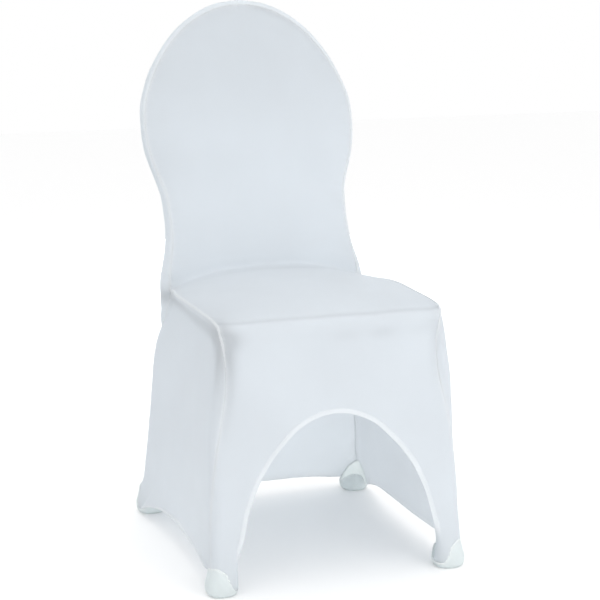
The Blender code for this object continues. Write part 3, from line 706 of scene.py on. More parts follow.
def seat_rows(across):
    """Seat from behind the junction to the front edge, from the middle to the side seam."""
    rows = []
    for y, z, side_y, side_x, side_z in SEAT:
        bend = across ** SEAT_BEND
        crown = 1.0 - across ** SEAT_FULLNESS
        rows.append(stacked(across * side_x, y + (side_y - y) * bend, side_z + (z - side_z) * crown))
    return rows


def front_points(along, z):
    """Points of the front face, by the distance along the cloth from the middle."""
    along = np.asarray(along, dtype=float)
    face = front("front", z)
    middle = front("middle", z)
    radius = front("radius", z)
    seam = front("seam", z)
    turn = np.maximum(along - middle, 0.0) / radius
    x = np.where(along > middle, middle + radius * np.sin(turn), along)
    y = face + radius * (1.0 - np.cos(turn))
    y = y + steady_rows(SEAM_DIP, z) * np.exp(-((seam - along) / SEAM_DIP_REACH) ** 2)
    return stacked(x, y, z)


def pocket_rim(foot, turn):
    """Height of a pocket's rim round its foot."""
    return steady_rows(FRONT_RIM if foot[1] < 0.0 else REAR_RIM, turn)


def ring_points(foot, turn, z):
    """Points of a rounded square round a foot; 0 faces out along Y, 90 faces out along X."""
    angle = np.radians(np.asarray(turn, dtype=float))
    reach = steady_rows(POCKET, z)
    power = 2.0 / POCKET_SQUARENESS
    side = np.sign(np.sin(angle)) * np.abs(np.sin(angle)) ** power
    ahead = np.sign(np.cos(angle)) * np.abs(np.cos(angle)) ** power
    outward = np.sign(foot[1])
    return stacked(foot[0] + reach * side, foot[1] + outward * reach * ahead, z)


def rim_turns(foot, count):
    """Turns all the way round a pocket, how high its rim stands there and how far it flares."""
    first, hem_end = (FRONT_RIM, FRONT_SIDE_TURNS) if foot[1] < 0.0 else (REAR_RIM, REAR_SIDE_TURNS)
    turns = np.linspace(first[0][0], first[0][0] + 360.0, count)
    part = np.clip((turns - hem_end[-1]) / (turns[-1] - hem_end[-1]), 0.0, 1.0)
    return turns, pocket_rim(foot, turns), INNER_FLARE * np.sin(np.pi * part) ** 2


def above_rim(foot, turn):
    """Points where a panel ends, sewn a little over a pocket's rim."""
    return ring_points(foot, turn, pocket_rim(foot, turn) - PANEL_LAP)


def arch_line():
    """The arch hem from the crown to the foot, finely sampled."""
    marks = np.linspace(0.0, 1.0, len(ARCH))
    fine = np.linspace(0.0, 1.0, ARCH_STEPS)
    flat = spline(marks, ARCH, fine)
    flat[0, 0] = 0.0
    return flat


def mean_steps(rows):
    """Mean distance from each row of points to the next one."""
    return np.linalg.norm(np.diff(rows, axis=0), axis=2).mean(axis=1)


def finer_rows(rows, counts):
    """Rows of a smooth curve through the given rows, counts of them to each gap."""
    rows = np.array(rows)
    knots = np.concatenate([[0.0], np.cumsum(mean_steps(rows))])
    gaps = zip(knots, knots[1:], counts)
    at = [np.linspace(low, high, count, endpoint=False) for low, high, count in gaps]
    return spline(knots, rows, np.concatenate(at + [knots[len(counts):len(counts) + 1]]))


def gap_counts(rows, step):
    return [max(2, int(np.ceil(gap / step))) for gap in mean_steps(np.array(rows))]


def half_across():
    """Stations from the middle to a seam, close together beside the seam."""
    near = [1.0 - place / HALF_SEAT for place in SEAM_STATIONS]
    count = int(round((HALF_SEAT - SEAM_STATIONS[-1]) / WIDE_STEP))
    return np.concatenate([np.linspace(0.0, near[-1], count, endpoint=False), near[::-1]])


def line_stations(length):
    """Parts of a line of cloth, close together at its seam and at its hem."""
    first = np.array(SEAM_STATIONS) / length
    last = 1.0 - np.array(HEM_STATIONS[::-1]) / length
    return np.concatenate([first, np.linspace(first[-1], last[0], LINE_PARTS)[1:-1], last])


def smoothed(points, passes):
    points = np.array(points)
    for _ in range(passes):
        points[1:-1] += 0.5 * (0.5 * (points[:-2] + points[2:]) - points[1:-1])
    return points


def whole_width(grid):
    """Both halves of a grid that starts at the middle."""
    return np.concatenate([grid[:, :0:-1] * MIRROR, grid], axis=1)


def upper_grid(across):
    """Inside of the backrest and the seat, down to the seat's front edge, and its rows to each gap."""
    rows = inner_back_rows(across) + seat_rows(across)
    shown = len(rows)
    for drop in RUN_ON:
        z = FRONT[-1][0] - drop
        rows.append(front_points(across * front("seam", z), np.full(len(across), z)))
    counts = gap_counts(rows, ALONG_STEP)[:shown]
    return finer_rows(rows, counts), counts


def apron_lines(across):
    """Front apron as lines from the seat edge and leg seam to the arch hem."""
    levels = column(FRONT_COLUMNS, FRONT, "z")
    hems = column(FRONT_COLUMNS, FRONT, "hem")
    top = levels[-1]
    starts = [(part * float(front("seam", top)), top) for part in across]
    shares = [part * hems[-1] for part in across]
    count = int(round((top - levels[0]) / LEG_STEP))
    for z in np.linspace(top, levels[0], count + 1)[1:]:
        starts.append((float(front("seam", z)), z))
        shares.append(float(steady(levels, hems, z)))
    least = NEAR_FOOT[1][1]
    lines = []
    for start, hem in zip(np.array(starts), resampled(arch_line(), shares)):
        parts = line_stations(np.linalg.norm(hem - start))
        flat = start + (hem - start) * parts[:, None]
        points = front_points(flat[:, 0], flat[:, 1])
        blend = float(steady_rows(NEAR_FOOT, start[1]))
        if blend > 0.0:
            turns = steady_rows(FOOT_WRAP, parts)
            seated = max(0.0, (blend - least) / (1.0 - least))
            height = flat[:, 1] + seated * (above_rim(FRONT_FOOT, turns)[:, 2] - flat[:, 1])
            points = points + blend * (ring_points(FRONT_FOOT, turns, height) - points)
        lines.append(points)
    return np.array(lines)


def rear_section(z, parts):
    """Section of the rear corner from the side seam to the rear face."""
    side = float(rear("side", z))
    face = float(rear("rear", z))
    radius = float(rear("radius", z))
    seam = np.array([float(rear("seam_x", z)), float(rear("seam_y", z))])
    middle = np.array([side - radius, face - radius])
    path = [seam]
    begin = max(0.0, np.arctan2(seam[1] - middle[1], seam[0] - middle[0]))
    if seam[1] < middle[1] - CORNER_FLAT:
        path.append(np.array([side, min(seam[1] + CORNER_SLANT * (side - seam[0]), middle[1])]))
        begin = 0.0
    for turn in np.linspace(begin, np.pi / 2.0, ROUND_POINTS):
        path.append(middle + radius * np.array([np.cos(turn), np.sin(turn)]))
    fine = smoothed(resampled(path, np.linspace(0.0, 1.0, CORNER_POINTS)), CORNER_PASSES)
    flat = resampled(fine, parts)
    return stacked(flat[:, 0], flat[:, 1], z)


def back_panel_rows(parts, rear_parts):
    """Rim band and outer back, top row first, from the seam round to the middle of the rear."""
    rows = []
    for row in reversed(back_outline()):
        points = rim_section(row, parts)
        rise = row[1]
        edge = points[-1]
        depth = float(back("depth", rise))
        middle_rise = rise - REAR_ROUND * depth * row[3]
        spread = min(1.0, edge[0] / REAR_CROWN_REACH)
        crown = REAR_CROWN * (1.0 - rear_parts ** 2) * spread
        flat = back_points(rear_parts * edge[0], middle_rise, -depth / 2.0 - crown)
        rows.append(np.concatenate([points, flat[1:]]))
    for z in [row[0] for row in reversed(FRONT)][1:]:
        rows.append(rear_row(z, parts, rear_parts))
    return rows


def rear_face(edge, part, rise):
    """Points of the outer back, a little hollow; rise is its height at the middle."""
    z = edge[2] + (rise - edge[2]) * (1.0 - part ** REAR_HEM_SQUARE)
    return stacked(part * edge[0], edge[1] - REAR_BOW * (1.0 - part ** 2), z)


def rear_row(z, parts, rear_parts):
    """One row of the outer back below the backrest; the last one ends on the pockets."""
    if z > FRONT[0][0]:
        points = rear_section(z, parts)
        fade = max(0.0, (z - REAR_ROW_LEVEL) / (REAR[-1][0] - REAR_ROW_LEVEL))
        begin = points[0][1]
        points[:, 2] -= REAR_ROW_DROP * fade * (points[:, 1] - begin) / (points[-1][1] - begin)
        flat = rear_face(points[-1], rear_parts, points[-1][2])
        return np.concatenate([points, flat[1:]])
    marks = np.linspace(0.0, 1.0, len(REAR_HEM_TURNS) - 1)
    points = above_rim(REAR_FOOT, np.interp(parts, marks, REAR_HEM_TURNS[:0:-1]))
    edge = above_rim(REAR_FOOT, REAR_HEM_TURNS[0])
    flat = rear_face(edge, rear_parts, REAR_HEM_RISE)
    bend = rear_face(edge, REAR_HEM_BEND, REAR_HEM_RISE)
    beyond = rear_parts > REAR_HEM_BEND
    way = (rear_parts[beyond] - REAR_HEM_BEND) / (1.0 - REAR_HEM_BEND)
    flat[beyond] = bend + (points[-1] - bend) * way[:, None]
    return np.concatenate([points, flat[1:]])


def side_row(z, drop, pinched, parts):
    """Section of the side cloth at one height, front seam to rear seam."""
    face = float(front("front", z))
    middle = float(front("middle", z))
    radius = float(front("radius", z))
    if pinched:
        radius -= float(steady_rows(PINCH, z))
    seam = float(front("seam", z))
    path = [front_points(seam, z)[:2]]
    begin = max(0.0, (seam - middle) / radius)
    for turn in np.linspace(begin, np.pi / 2.0, SIDE_ROUND_POINTS[0])[1:]:
        path.append(np.array([middle + radius * np.sin(turn), face + radius * (1.0 - np.cos(turn))]))
    side = float(rear("side", z))
    corner = float(rear("radius", z))
    centre = np.array([side - corner, float(rear("rear", z)) - corner])
    last = np.array([float(rear("seam_x", z)), float(rear("seam_y", z))])
    finish = np.arctan2(last[1] - centre[1], last[0] - centre[0])
    after = [last]
    if finish > 0.0 and last[1] > centre[1]:
        for turn in np.linspace(finish, 0.0, SIDE_ROUND_POINTS[1])[1:]:
            after.append(centre + corner * np.array([np.cos(turn), np.sin(turn)]))
    start = path[-1]
    end = after[-1]
    bow = SIDE_BOW * np.sin(np.pi * min(1.0, drop / SIDE_BOW_REACH)) + SIDE_HEM_INSET * drop ** 3
    for part in np.linspace(0.0, 1.0, SIDE_PATH_POINTS)[1:-1]:
        point = start * (1.0 - part) + end * part
        point[0] -= bow * 4.0 * part * (1.0 - part)
        path.append(point)
    path.extend(reversed(after))
    flat = resampled(smoothed(resampled(path, np.linspace(0.0, 1.0, SIDE_POINTS)), SIDE_PASSES), parts)
    return stacked(flat[:, 0], flat[:, 1], z)


def side_rows(seam_curve, hem, pinched):
    """Side panel, top row first; seam_curve is the seat's side seam from front to rear."""
    length = run_length(seam_curve)
    parts = length / length[-1]
    heights = [row[0] for row in reversed(FRONT)]
    rows = [seam_curve]
    for index, z in enumerate(heights[:-1]):
        drop = (heights[0] - z) / heights[0]
        row = side_row(z, drop, pinched, parts)
        if index == 0:
            full = row.copy()
            full[:, 0] += SEAT_SIDE_SHARE * (seam_curve[:, 0] + SEAT_SIDE_OUT - row[:, 0])
            full[:, 2] = seam_curve[:, 2] - SEAT_SIDE_DROP
            fade = np.clip(np.minimum(parts, 1.0 - parts) / SEAM_END_FADE, 0.0, 1.0)[:, None]
            row = row + (full - row) * fade
        rows.append(row)
    rows.append(smoothed(side_hem(parts, hem), SIDE_HEM_PASSES))
    counts = gap_counts(rows, LEG_STEP)
    counts[0], counts[1], counts[-1] = SIDE_COUNTS
    return finer_rows(rows, counts)


def side_hem(parts, hem):
    """Last row of a side panel: round the front pocket, along the hem and round the rear pocket."""
    coarse = side_parts()
    front_end = coarse[len(FRONT_SIDE_TURNS) - 1]
    rear_start = coarse[len(coarse) - len(REAR_SIDE_TURNS)]
    start = above_rim(FRONT_FOOT, FRONT_SIDE_TURNS[-1])
    end = above_rim(REAR_FOOT, REAR_SIDE_TURNS[-1])
    points = []
    for part in parts:
        if part <= front_end:
            turn = np.interp(part, coarse[:len(FRONT_SIDE_TURNS)], FRONT_SIDE_TURNS)
            points.append(above_rim(FRONT_FOOT, turn))
        elif part >= rear_start:
            turn = np.interp(part, coarse[-len(REAR_SIDE_TURNS):], REAR_SIDE_TURNS[::-1])
            points.append(above_rim(REAR_FOOT, turn))
        else:
            share = (part - front_end) / (rear_start - front_end)
            point = start * (1.0 - share) + end * share
            point[2] += (hem[0] - point[2]) * (1.0 - abs(2.0 * share - 1.0) ** hem[1])
            point[0] -= (SIDE_HEM_INSET + SIDE_HEM_OUT) * 4.0 * share * (1.0 - share) - SIDE_HEM_OUT
            points.append(point)
    return points


def side_parts():
    """Parts of the seat's side seam at which its rows lie, rear end last."""
    points = np.array([[row[3], row[2], row[4]] for row in reversed(SEAT)])
    last = rim_section(back_outline()[0], np.array([0.0, 1.0]))[0]
    points = np.concatenate([points, [last]])
    length = run_length(points)
    return length / length[-1]


def edge_distance(grid, side):
    """Distance along the cloth from one edge of a grid to each of its points."""
    steps = np.linalg.norm(np.diff(grid, axis=1), axis=2)
    if side == "first":
        return np.concatenate([np.zeros((len(grid), 1)), np.cumsum(steps, axis=1)], axis=1)
    total = np.cumsum(steps[:, ::-1], axis=1)[:, ::-1]
    return np.concatenate([total, np.zeros((len(grid), 1))], axis=1)


def hem_distance(grid):
    """Distance along the cloth from its last row to each of its points."""
    return edge_distance(np.swapaxes(grid, 0, 1), "last").T


def grid_normals(grid, sign):
    down = np.gradient(grid, axis=0)
    across = np.gradient(grid, axis=1)
    normal = np.cross(down, across) * sign
    length = np.linalg.norm(normal, axis=2, keepdims=True)
    return normal / np.maximum(length, 1e-12)


def ripple(length, pitch, seed):
    """Uneven smooth ripple from -1 to 1 along a seam."""
    draw = np.random.default_rng(seed)
    total = np.zeros_like(length)
    for scale in RIPPLE_SCALES:
        phase = draw.uniform(0.0, 2.0 * np.pi)
        total += np.sin(2.0 * np.pi * length / (pitch * scale) + phase)
    return total / RIPPLE_SUM


def waves(points, lengths, count, seed):
    """Smooth uneven field of points from about -1 to 1, as a sum of waves in all directions."""
    draw = np.random.default_rng(seed)
    total = np.zeros(len(points))
    for _ in range(count):
        way = draw.normal(size=3)
        way /= np.linalg.norm(way)
        length = draw.uniform(lengths[0], lengths[1])
        total += np.sin(2.0 * np.pi * (points @ way) / length + draw.uniform(0.0, 2.0 * np.pi))
    return total / np.sqrt(count)


def evened(line, extra, step):
    """A line of points with even steps, its extra columns with it, and the length at each."""
    line = np.asarray(line)
    length = run_length(line)
    keep = np.concatenate([[True], np.diff(length) > 1e-6])
    both = np.concatenate([line, extra], axis=1)[keep]
    length = length[keep]
    at = np.linspace(0.0, length[-1], int(round(length[-1] / step)) + 1)
    found = read_along(at, length, both)
    return found[:, :3], found[:, 3:], at


def fine_line(line):
    """A line of points with fine even steps, and the length at each."""
    points, _, length = evened(line, np.zeros((len(line), 0)), LINE_STEP)
    return points, length


def nearest(points, line):
    """Distance from each point to a line of points, and the place of the nearest one."""
    tree = KDTree(len(line))
    for index, point in enumerate(line):
        tree.insert(point, index)
    tree.balance()
    found = [tree.find(point) for point in points]
    return np.array([row[2] for row in found]), np.array([row[1] for row in found])


def bump_at(value, middle, width):
    return np.exp(-((value - middle) / width) ** 2)


def step_up(value, low, high):
    part = np.clip((value - low) / (high - low), 0.0, 1.0)
    return part * part * (3.0 - 2.0 * part)


def softened(grid, row, reach, passes):
    """Rounds a crease that runs across a grid, less so beside its seams."""
    low = row - reach
    high = row + reach + 1
    fade = np.cos(np.linspace(-np.pi / 2.0, np.pi / 2.0, high - low))[:, None, None]
    across = 1.0 - np.linspace(-1.0, 1.0, grid.shape[1])[None, :, None] ** CREASE_CALM
    weight = 0.5 * fade * across
    for _ in range(passes):
        middle = 0.5 * (grid[low - 1:high - 1] + grid[low + 1:high + 1])
        grid[low:high] += weight * (middle - grid[low:high])


def written(mesh, name, values):
    layer = mesh.attributes.new(name, "FLOAT", "POINT")
    layer.data.foreach_set("value", np.asarray(values, dtype=np.float32))


def laid_out(mesh, coords):
    """Writes the place of each point on its cloth."""
    layer = mesh.uv_layers.new(name="cloth")
    places = np.zeros(len(mesh.loops), dtype=np.int32)
    mesh.loops.foreach_get("vertex_index", places)
    layer.data.foreach_set("uv", np.array(coords, dtype=np.float32)[places].ravel())


def cloth_mesh(name, side, sheets):
    """One welded mesh of grids, each with its hem weights and the place of its first row."""
    verts = []
    faces = []
    weights = []
    coords = []
    for grid, hem, first in sheets:
        base = len(verts)
        count_rows, count_columns = grid.shape[:2]
        verts.extend(grid.reshape(-1, 3).tolist())
        weights.extend(hem.reshape(-1).tolist())
        run = edge_distance(grid, "first")
        run = run - run[:, count_columns // 2:count_columns // 2 + 1]
        fall = edge_distance(np.swapaxes(grid, 0, 1), "first").T
        coords.extend(np.stack([run, first - fall], axis=2).reshape(-1, 2).tolist())
        for row in range(count_rows - 1):
            for place in range(count_columns - 1):
                one = base + row * count_columns + place
                corners = (one, one + count_columns, one + count_columns + 1, one + 1)
                faces.append(corners if side > 0.0 else corners[::-1])
    mesh = bpy.data.meshes.new(name)
    mesh.from_pydata(verts, [], faces)
    laid_out(mesh, coords)
    written(mesh, "thin", weights)
    build = bmesh.new()
    build.from_mesh(mesh)
    bmesh.ops.remove_doubles(build, verts=build.verts, dist=WELD)
    bmesh.ops.dissolve_degenerate(build, edges=build.edges, dist=SLIVER)
    build.to_mesh(mesh)
    build.free()
    mesh.shade_smooth()
    return mesh


def read_points(mesh):
    values = np.zeros(len(mesh.vertices) * 3)
    mesh.vertices.foreach_get("co", values)
    points = values.reshape(-1, 3).copy()
    mesh.vertices.foreach_get("normal", values)
    return points, values.reshape(-1, 3).copy()


def raised(mesh, points, normals, height):
    """Moves the points of a mesh outward."""
    mesh.vertices.foreach_set("co", (points + normals * height[:, None]).ravel())
    mesh.update()


def band(form, value):
    """Strength of a form around its middle."""
    return form[0] * bump_at(value, form[1], form[2])


def creases(forms, near, down, behind):
    """Creases by the distance from the seam, the drop below the corner and the way behind it."""
    total = np.zeros(len(near))
    for strength, by_seam, by_drop, start, fading in forms:
        form = strength * bump_at(near, *by_seam) * bump_at(down, *by_drop) * (down > start)
        if fading:
            form = form * bump_at(behind, 0.0, CORNER_FADE)
        total += form
    return total


def edge_forms(points, edge):
    """Height and painted shade of the forms along the seat's front edge and in front of the backrest."""
    x, y, z = points.T
    away, place = nearest(points, edge)
    seat_side = (z - edge[place, 2]) + (y - edge[place, 1]) > 0.0
    level, depth, pitch = UNDER_WAVE
    patch = (level + depth * np.sin(x * pitch)) * bump_at(x, *UNDER_ACROSS)
    under = bump_at(away, *UNDER_DOWN) * ~seat_side * patch
    height = band(EDGE_SWELL, away) * (1.0 - step_up(np.abs(x), *EDGE_SWELL_END)) * seat_side
    height -= band(EDGE_TROUGH, away) * seat_side + UNDER_DEPTH * under
    # Painted shade: a dark line on the seat above its front edge, in the dips under it and on the seat
    # in front of the backrest
    shade = band(EDGE_SHADE, away) * seat_side + UNDER_SHADE * under
    shade += band(BACKREST_SHADE, y) * (z > SEAT_LEVEL) * bump_at(x, *BACKREST_SHADE_ACROSS)
    return height, shade


def relieved(mesh, seams, corner, edge, seed):
    """Gives a cloth its puckers, creases and soft forms, and marks its seams and the shade painted at
    its creases and edges.
    """
    points, normals = read_points(mesh)
    mirrored = np.stack([np.abs(points[:, 0]), points[:, 1], points[:, 2]], 1)
    height = np.zeros(len(points))
    near = np.full(len(points), 1.0)
    for line in seams:
        fine, length = fine_line(line)
        away, place = nearest(mirrored, fine)
        along = length[place] + np.where(points[:, 0] < 0.0, LEFT_SHIFT, 0.0)
        reach = away / PUCKER_REACH
        swell = reach * np.exp(1.0 - reach) * (away < PUCKER_END)
        height += PUCKER_HEIGHT * ripple(along, PUCKER_PITCH, seed) * swell
        near = np.minimum(near, away)
    calm = 1.0 - bump_at(near, 0.0, BROAD_CALM)
    height += BROAD_HEIGHT * waves(points, BROAD_LENGTHS, BROAD_WAVES, seed + BROAD_SEED) * calm
    side = np.where(points[:, 0] < 0.0, 1.0, RIGHT_CREASES)
    from_corner = (near, corner[2] - points[:, 2], points[:, 1] - corner[1])
    height -= side * creases(CORNER_DIPS, *from_corner)
    # Painted shade along the creases below the front corners
    shade = side * creases(CORNER_SHADES, *from_corner)
    if edge is not None:
        more_height, more_shade = edge_forms(points, edge)
        height += more_height
        shade += more_shade
    raised(mesh, points, normals, height)
    written(mesh, "seam", bump_at(near, 0.0, SEAM_MARK))
    # Painted shade mark, which the cloth's material reads to draw it darker
    written(mesh, "shade", np.clip(shade, 0.0, 1.0))


def crumpled(mesh, seed):
    """Small soft crumples of a foot pocket, none at its sole; nothing on it is marked."""
    points, normals = read_points(mesh)
    low = step_up(points[:, 2], *CRUMPLE_START)
    height = CRUMPLE_HEIGHT * waves(points, CRUMPLE_LENGTHS, CRUMPLE_WAVES, seed) * low
    raised(mesh, points, normals, height)
    for mark in ("seam", "shade"):
        written(mesh, mark, np.zeros(len(points)))


def tube_faces(base, rings, sides, closed):
    """Faces of a tube of rings of points, closed round or with both ends shut."""
    faces = []
    for ring in range(rings if closed else rings - 1):
        one = base + ring * sides
        two = base + (ring + 1) % rings * sides
        for place in range(sides):
            after = (place + 1) % sides
            faces.append((one + place, one + after, two + after, two + place))
    if not closed:
        faces.append(tuple(range(base, base + sides)))
        faces.append(tuple(range(base + (rings - 1) * sides, base + rings * sides)))
    return faces


def detail_mesh(name, verts, faces, coords, seam):
    """Closed small forms as one mesh, with the same marks as the cloth."""
    mesh = bpy.data.meshes.new(name)
    mesh.from_pydata([tuple(vert) for vert in verts], [], faces)
    build = bmesh.new()
    build.from_mesh(mesh)
    bmesh.ops.recalc_face_normals(build, faces=build.faces)
    build.to_mesh(mesh)
    build.free()
    laid_out(mesh, coords)
    for mark, value in (("thin", 0.0), ("seam", seam), ("shade", 0.0)):
        written(mesh, mark, np.full(len(verts), value))
    mesh.shade_smooth()
    return mesh


def ridge_mesh(name, paths):
    """Raised ridges along lines of points with outward ways; closed ones join end to end."""
    verts = []
    faces = []
    coords = []
    turns = np.linspace(0.0, 2.0 * np.pi, RIDGE_SIDES, endpoint=False)
    for points, outward, half_width, half_height, closed in paths:
        if closed:
            tangent = np.roll(points, -1, axis=0) - np.roll(points, 1, axis=0)
        else:
            tangent = np.gradient(points, axis=0)
        tangent /= np.linalg.norm(tangent, axis=1)[:, None]
        outward = outward - tangent * np.sum(outward * tangent, axis=1)[:, None]
        outward /= np.linalg.norm(outward, axis=1)[:, None]
        side = np.cross(tangent, outward)
        length = run_length(points)
        faces.extend(tube_faces(len(verts), len(points), RIDGE_SIDES, closed))
        for index in range(len(points)):
            for turn in turns:
                out = half_height[index] * np.sin(turn)
                aside = half_width[index] * np.cos(turn)
                verts.append(points[index] + outward[index] * out + side[index] * aside)
                coords.append((RIDGE_WRAP * turn, length[index]))
    return detail_mesh(name, verts, faces, coords, 1.0)


def ridge_path(line, outward, sizes, lift, seed=0, closed=False):
    """A ridge along a line, its size and ripple by the length; sizes are parts of the full ridge."""
    extra = np.concatenate([outward, sizes[:, None]], axis=1)
    points, found, length = evened(line, extra, RIDGE_STEP)
    if closed:
        points = points[:-1]
        found = found[:-1]
        wave = RIDGE_RIPPLE * np.sin(2.0 * np.pi * RIM_RIPPLES * np.arange(len(points)) / len(points))
    else:
        points = smoothed(points, RIDGE_PASSES)
        wave = RIDGE_RIPPLE * ripple(length, PUCKER_PITCH, seed)
    way = found[:, :3]
    way /= np.linalg.norm(way, axis=1)[:, None]
    size = found[:, 3]
    ends = np.ones(len(points))
    if not closed:
        ends[:len(RIDGE_ENDS)] = RIDGE_ENDS
        ends[-len(RIDGE_ENDS):] = RIDGE_ENDS[::-1]
    points = points + way * (lift + RIDGE_SWAY * wave / RIDGE_RIPPLE)[:, None] * size[:, None]
    half_width = RIDGE_HALF_WIDTH * size * ends * (1.0 + 0.5 * wave)
    half_height = RIDGE_HALF_HEIGHT * size * ends * (1.0 + wave)
    return points, way, half_width, half_height, closed


def both_sides(path):
    """A ridge path and its mirror image."""
    points, way, half_width, half_height, closed = path
    return [path, (points * MIRROR, way * MIRROR, half_width, half_height, closed)]


def hem_runs(grid, side, distance):
    """Lines on the cloth at a distance from its hem, with outward ways, broken at the pockets."""
    away = hem_distance(grid)
    normals = grid_normals(grid, side)
    skip = near_pocket(grid)[-1]
    runs = [[]]
    for place in range(grid.shape[1]):
        if skip[place]:
            runs.append([])
            continue
        values = np.concatenate([grid[::-1, place], normals[::-1, place]], axis=1)
        runs[-1].append(read_along([distance], away[::-1, place], values)[0])
    return [np.array(run) for run in runs if len(run) > LEAST_RUN]


def stitch_mesh(name, grid, side):
    """Rows of short raised stitches along the hem of a grid."""
    verts = []
    faces = []
    coords = []
    turns = np.linspace(0.0, 2.0 * np.pi, STITCH_SIDES, endpoint=False)
    runs = [run for distance in STITCH_ROWS for run in hem_runs(grid, side, distance)]
    for run in runs:
        points, ways, _ = evened(run[:, :3], run[:, 3:], STITCH_PITCH)
        tangent = np.gradient(points, axis=0)
        for point, way, ahead in zip(points[1:-1], ways[1:-1], tangent[1:-1]):
            ahead = ahead / np.linalg.norm(ahead)
            way = way - ahead * np.dot(way, ahead)
            way /= np.linalg.norm(way)
            beside = np.cross(ahead, way)
            centre = point + way * (HEM_CLOTH + STITCH_LIFT * STITCH_RADIUS)
            faces.extend(tube_faces(len(verts), len(STITCH_RINGS), STITCH_SIDES, False))
            for at, wide, up in STITCH_RINGS:
                middle = centre + ahead * at * STITCH_HALF + way * up * STITCH_RADIUS
                for turn in turns:
                    spread = way * np.sin(turn) + beside * np.cos(turn)
                    verts.append(middle + spread * wide * STITCH_RADIUS)
                    coords.append((PLY_SLANT * turn, at * STITCH_HALF))
    return detail_mesh(name, verts, faces, coords, STITCH_FIRMNESS)


def placed(name, mesh, finish):
    """The piece of a mesh, moved to where the cover is held."""
    result = bpy.data.objects.new(name, mesh)
    bpy.context.scene.collection.objects.link(result)
    mesh.materials.append(finish)
    mesh.transform(TO_HELD)
    return result


def thickened(piece, hem_thickness):
    """Gives a cloth its thickness outward, more at its hem."""
    group = piece.vertex_groups.new(name="hem")
    values = np.zeros(len(piece.data.vertices), dtype=np.float32)
    piece.data.attributes["thin"].data.foreach_get("value", values)
    for share in np.unique(np.round(values, 3)):
        if share > 0.0:
            chosen = np.nonzero(np.abs(values - share) < SHARE_STEP)[0]
            group.add(chosen.tolist(), float(share), "REPLACE")
    thick = piece.modifiers.new("Cloth", "SOLIDIFY")
    thick.thickness = hem_thickness
    thick.offset = 1.0
    thick.use_even_offset = False
    thick.use_quality_normals = True
    thick.vertex_group = "hem"
    thick.thickness_vertex_group = CLOTH / hem_thickness
    return piece


def fed(tree, socket, value):
    """Links a socket, or sets it."""
    if isinstance(value, tuple):
        socket.default_value = value + (1.0,)
    elif isinstance(value, (int, float)):
        socket.default_value = value
    else:
        tree.links.new(value, socket)


def math_node(tree, operation, first, second=None):
    node = tree.nodes.new("ShaderNodeMath")
    node.operation = operation
    fed(tree, node.inputs[0], first)
    if second is not None:
        fed(tree, node.inputs[1], second)
    return node.outputs[0]


def times(tree, first, second):
    return math_node(tree, "MULTIPLY", first, second)


def plus(tree, first, second):
    return math_node(tree, "ADD", first, second)


def noise_node(tree, vector, scale, detail, stretch=(1.0, 1.0, 1.0)):
    mapping = tree.nodes.new("ShaderNodeMapping")
    mapping.inputs["Scale"].default_value = stretch
    tree.links.new(vector, mapping.inputs["Vector"])
    node = tree.nodes.new("ShaderNodeTexNoise")
    node.inputs["Scale"].default_value = scale
    node.inputs["Detail"].default_value = detail
    tree.links.new(mapping.outputs["Vector"], node.inputs["Vector"])
    return node.outputs["Fac"]


def color_mix(tree, share, first, second):
    node = tree.nodes.new("ShaderNodeMix")
    node.data_type = "RGBA"
    for name, value in (("Factor", share), ("A", first), ("B", second)):
        found = [x for x in node.inputs if x.name == name and x.type in ("VALUE", "RGBA") and x.enabled]
        fed(tree, found[0], value)
    return [x for x in node.outputs if x.type == "RGBA"][0]


def attribute_node(tree, name):
    node = tree.nodes.new("ShaderNodeAttribute")
    node.attribute_name = name
    return node.outputs["Fac"]


def split_axes(tree, vector):
    node = tree.nodes.new("ShaderNodeSeparateXYZ")
    tree.links.new(vector, node.inputs[0])
    return node.outputs


def cloth_axes(tree):
    """Places across and along a cloth."""
    place = tree.nodes.new("ShaderNodeUVMap")
    place.uv_map = "cloth"
    return split_axes(tree, place.outputs["UV"])[:2]


def new_material(name, surface):
    """A material with its shader's settings: the material, its nodes, shader and body places."""
    result = bpy.data.materials.new(name)
    result.use_nodes = True
    tree = result.node_tree
    shader = tree.nodes["Principled BSDF"]
    for setting, value in surface:
        shader.inputs[setting].default_value = value
    return result, tree, shader, tree.nodes.new("ShaderNodeTexCoord").outputs["Object"]


def finished(tree, shader, base, height, relief):
    """Joins a colour and a fine relief to a shader."""
    tree.links.new(base, shader.inputs["Base Color"])
    bump = tree.nodes.new("ShaderNodeBump")
    bump.inputs["Strength"].default_value, bump.inputs["Distance"].default_value = relief
    tree.links.new(height, bump.inputs["Height"])
    tree.links.new(bump.outputs["Normal"], shader.inputs["Normal"])


def shown_through(tree, shader, base, share):
    """Lets a share of the light through a cloth."""
    behind = tree.nodes.new("ShaderNodeBsdfTranslucent")
    tree.links.new(base, behind.inputs["Color"])
    mix = tree.nodes.new("ShaderNodeMixShader")
    fed(tree, mix.inputs[0], share)
    tree.links.new(shader.outputs[0], mix.inputs[1])
    tree.links.new(behind.outputs[0], mix.inputs[2])
    tree.links.new(mix.outputs[0], tree.nodes["Material Output"].inputs["Surface"])


def toned(color, share):
    return tuple(min(1.0, value * share) for value in color)


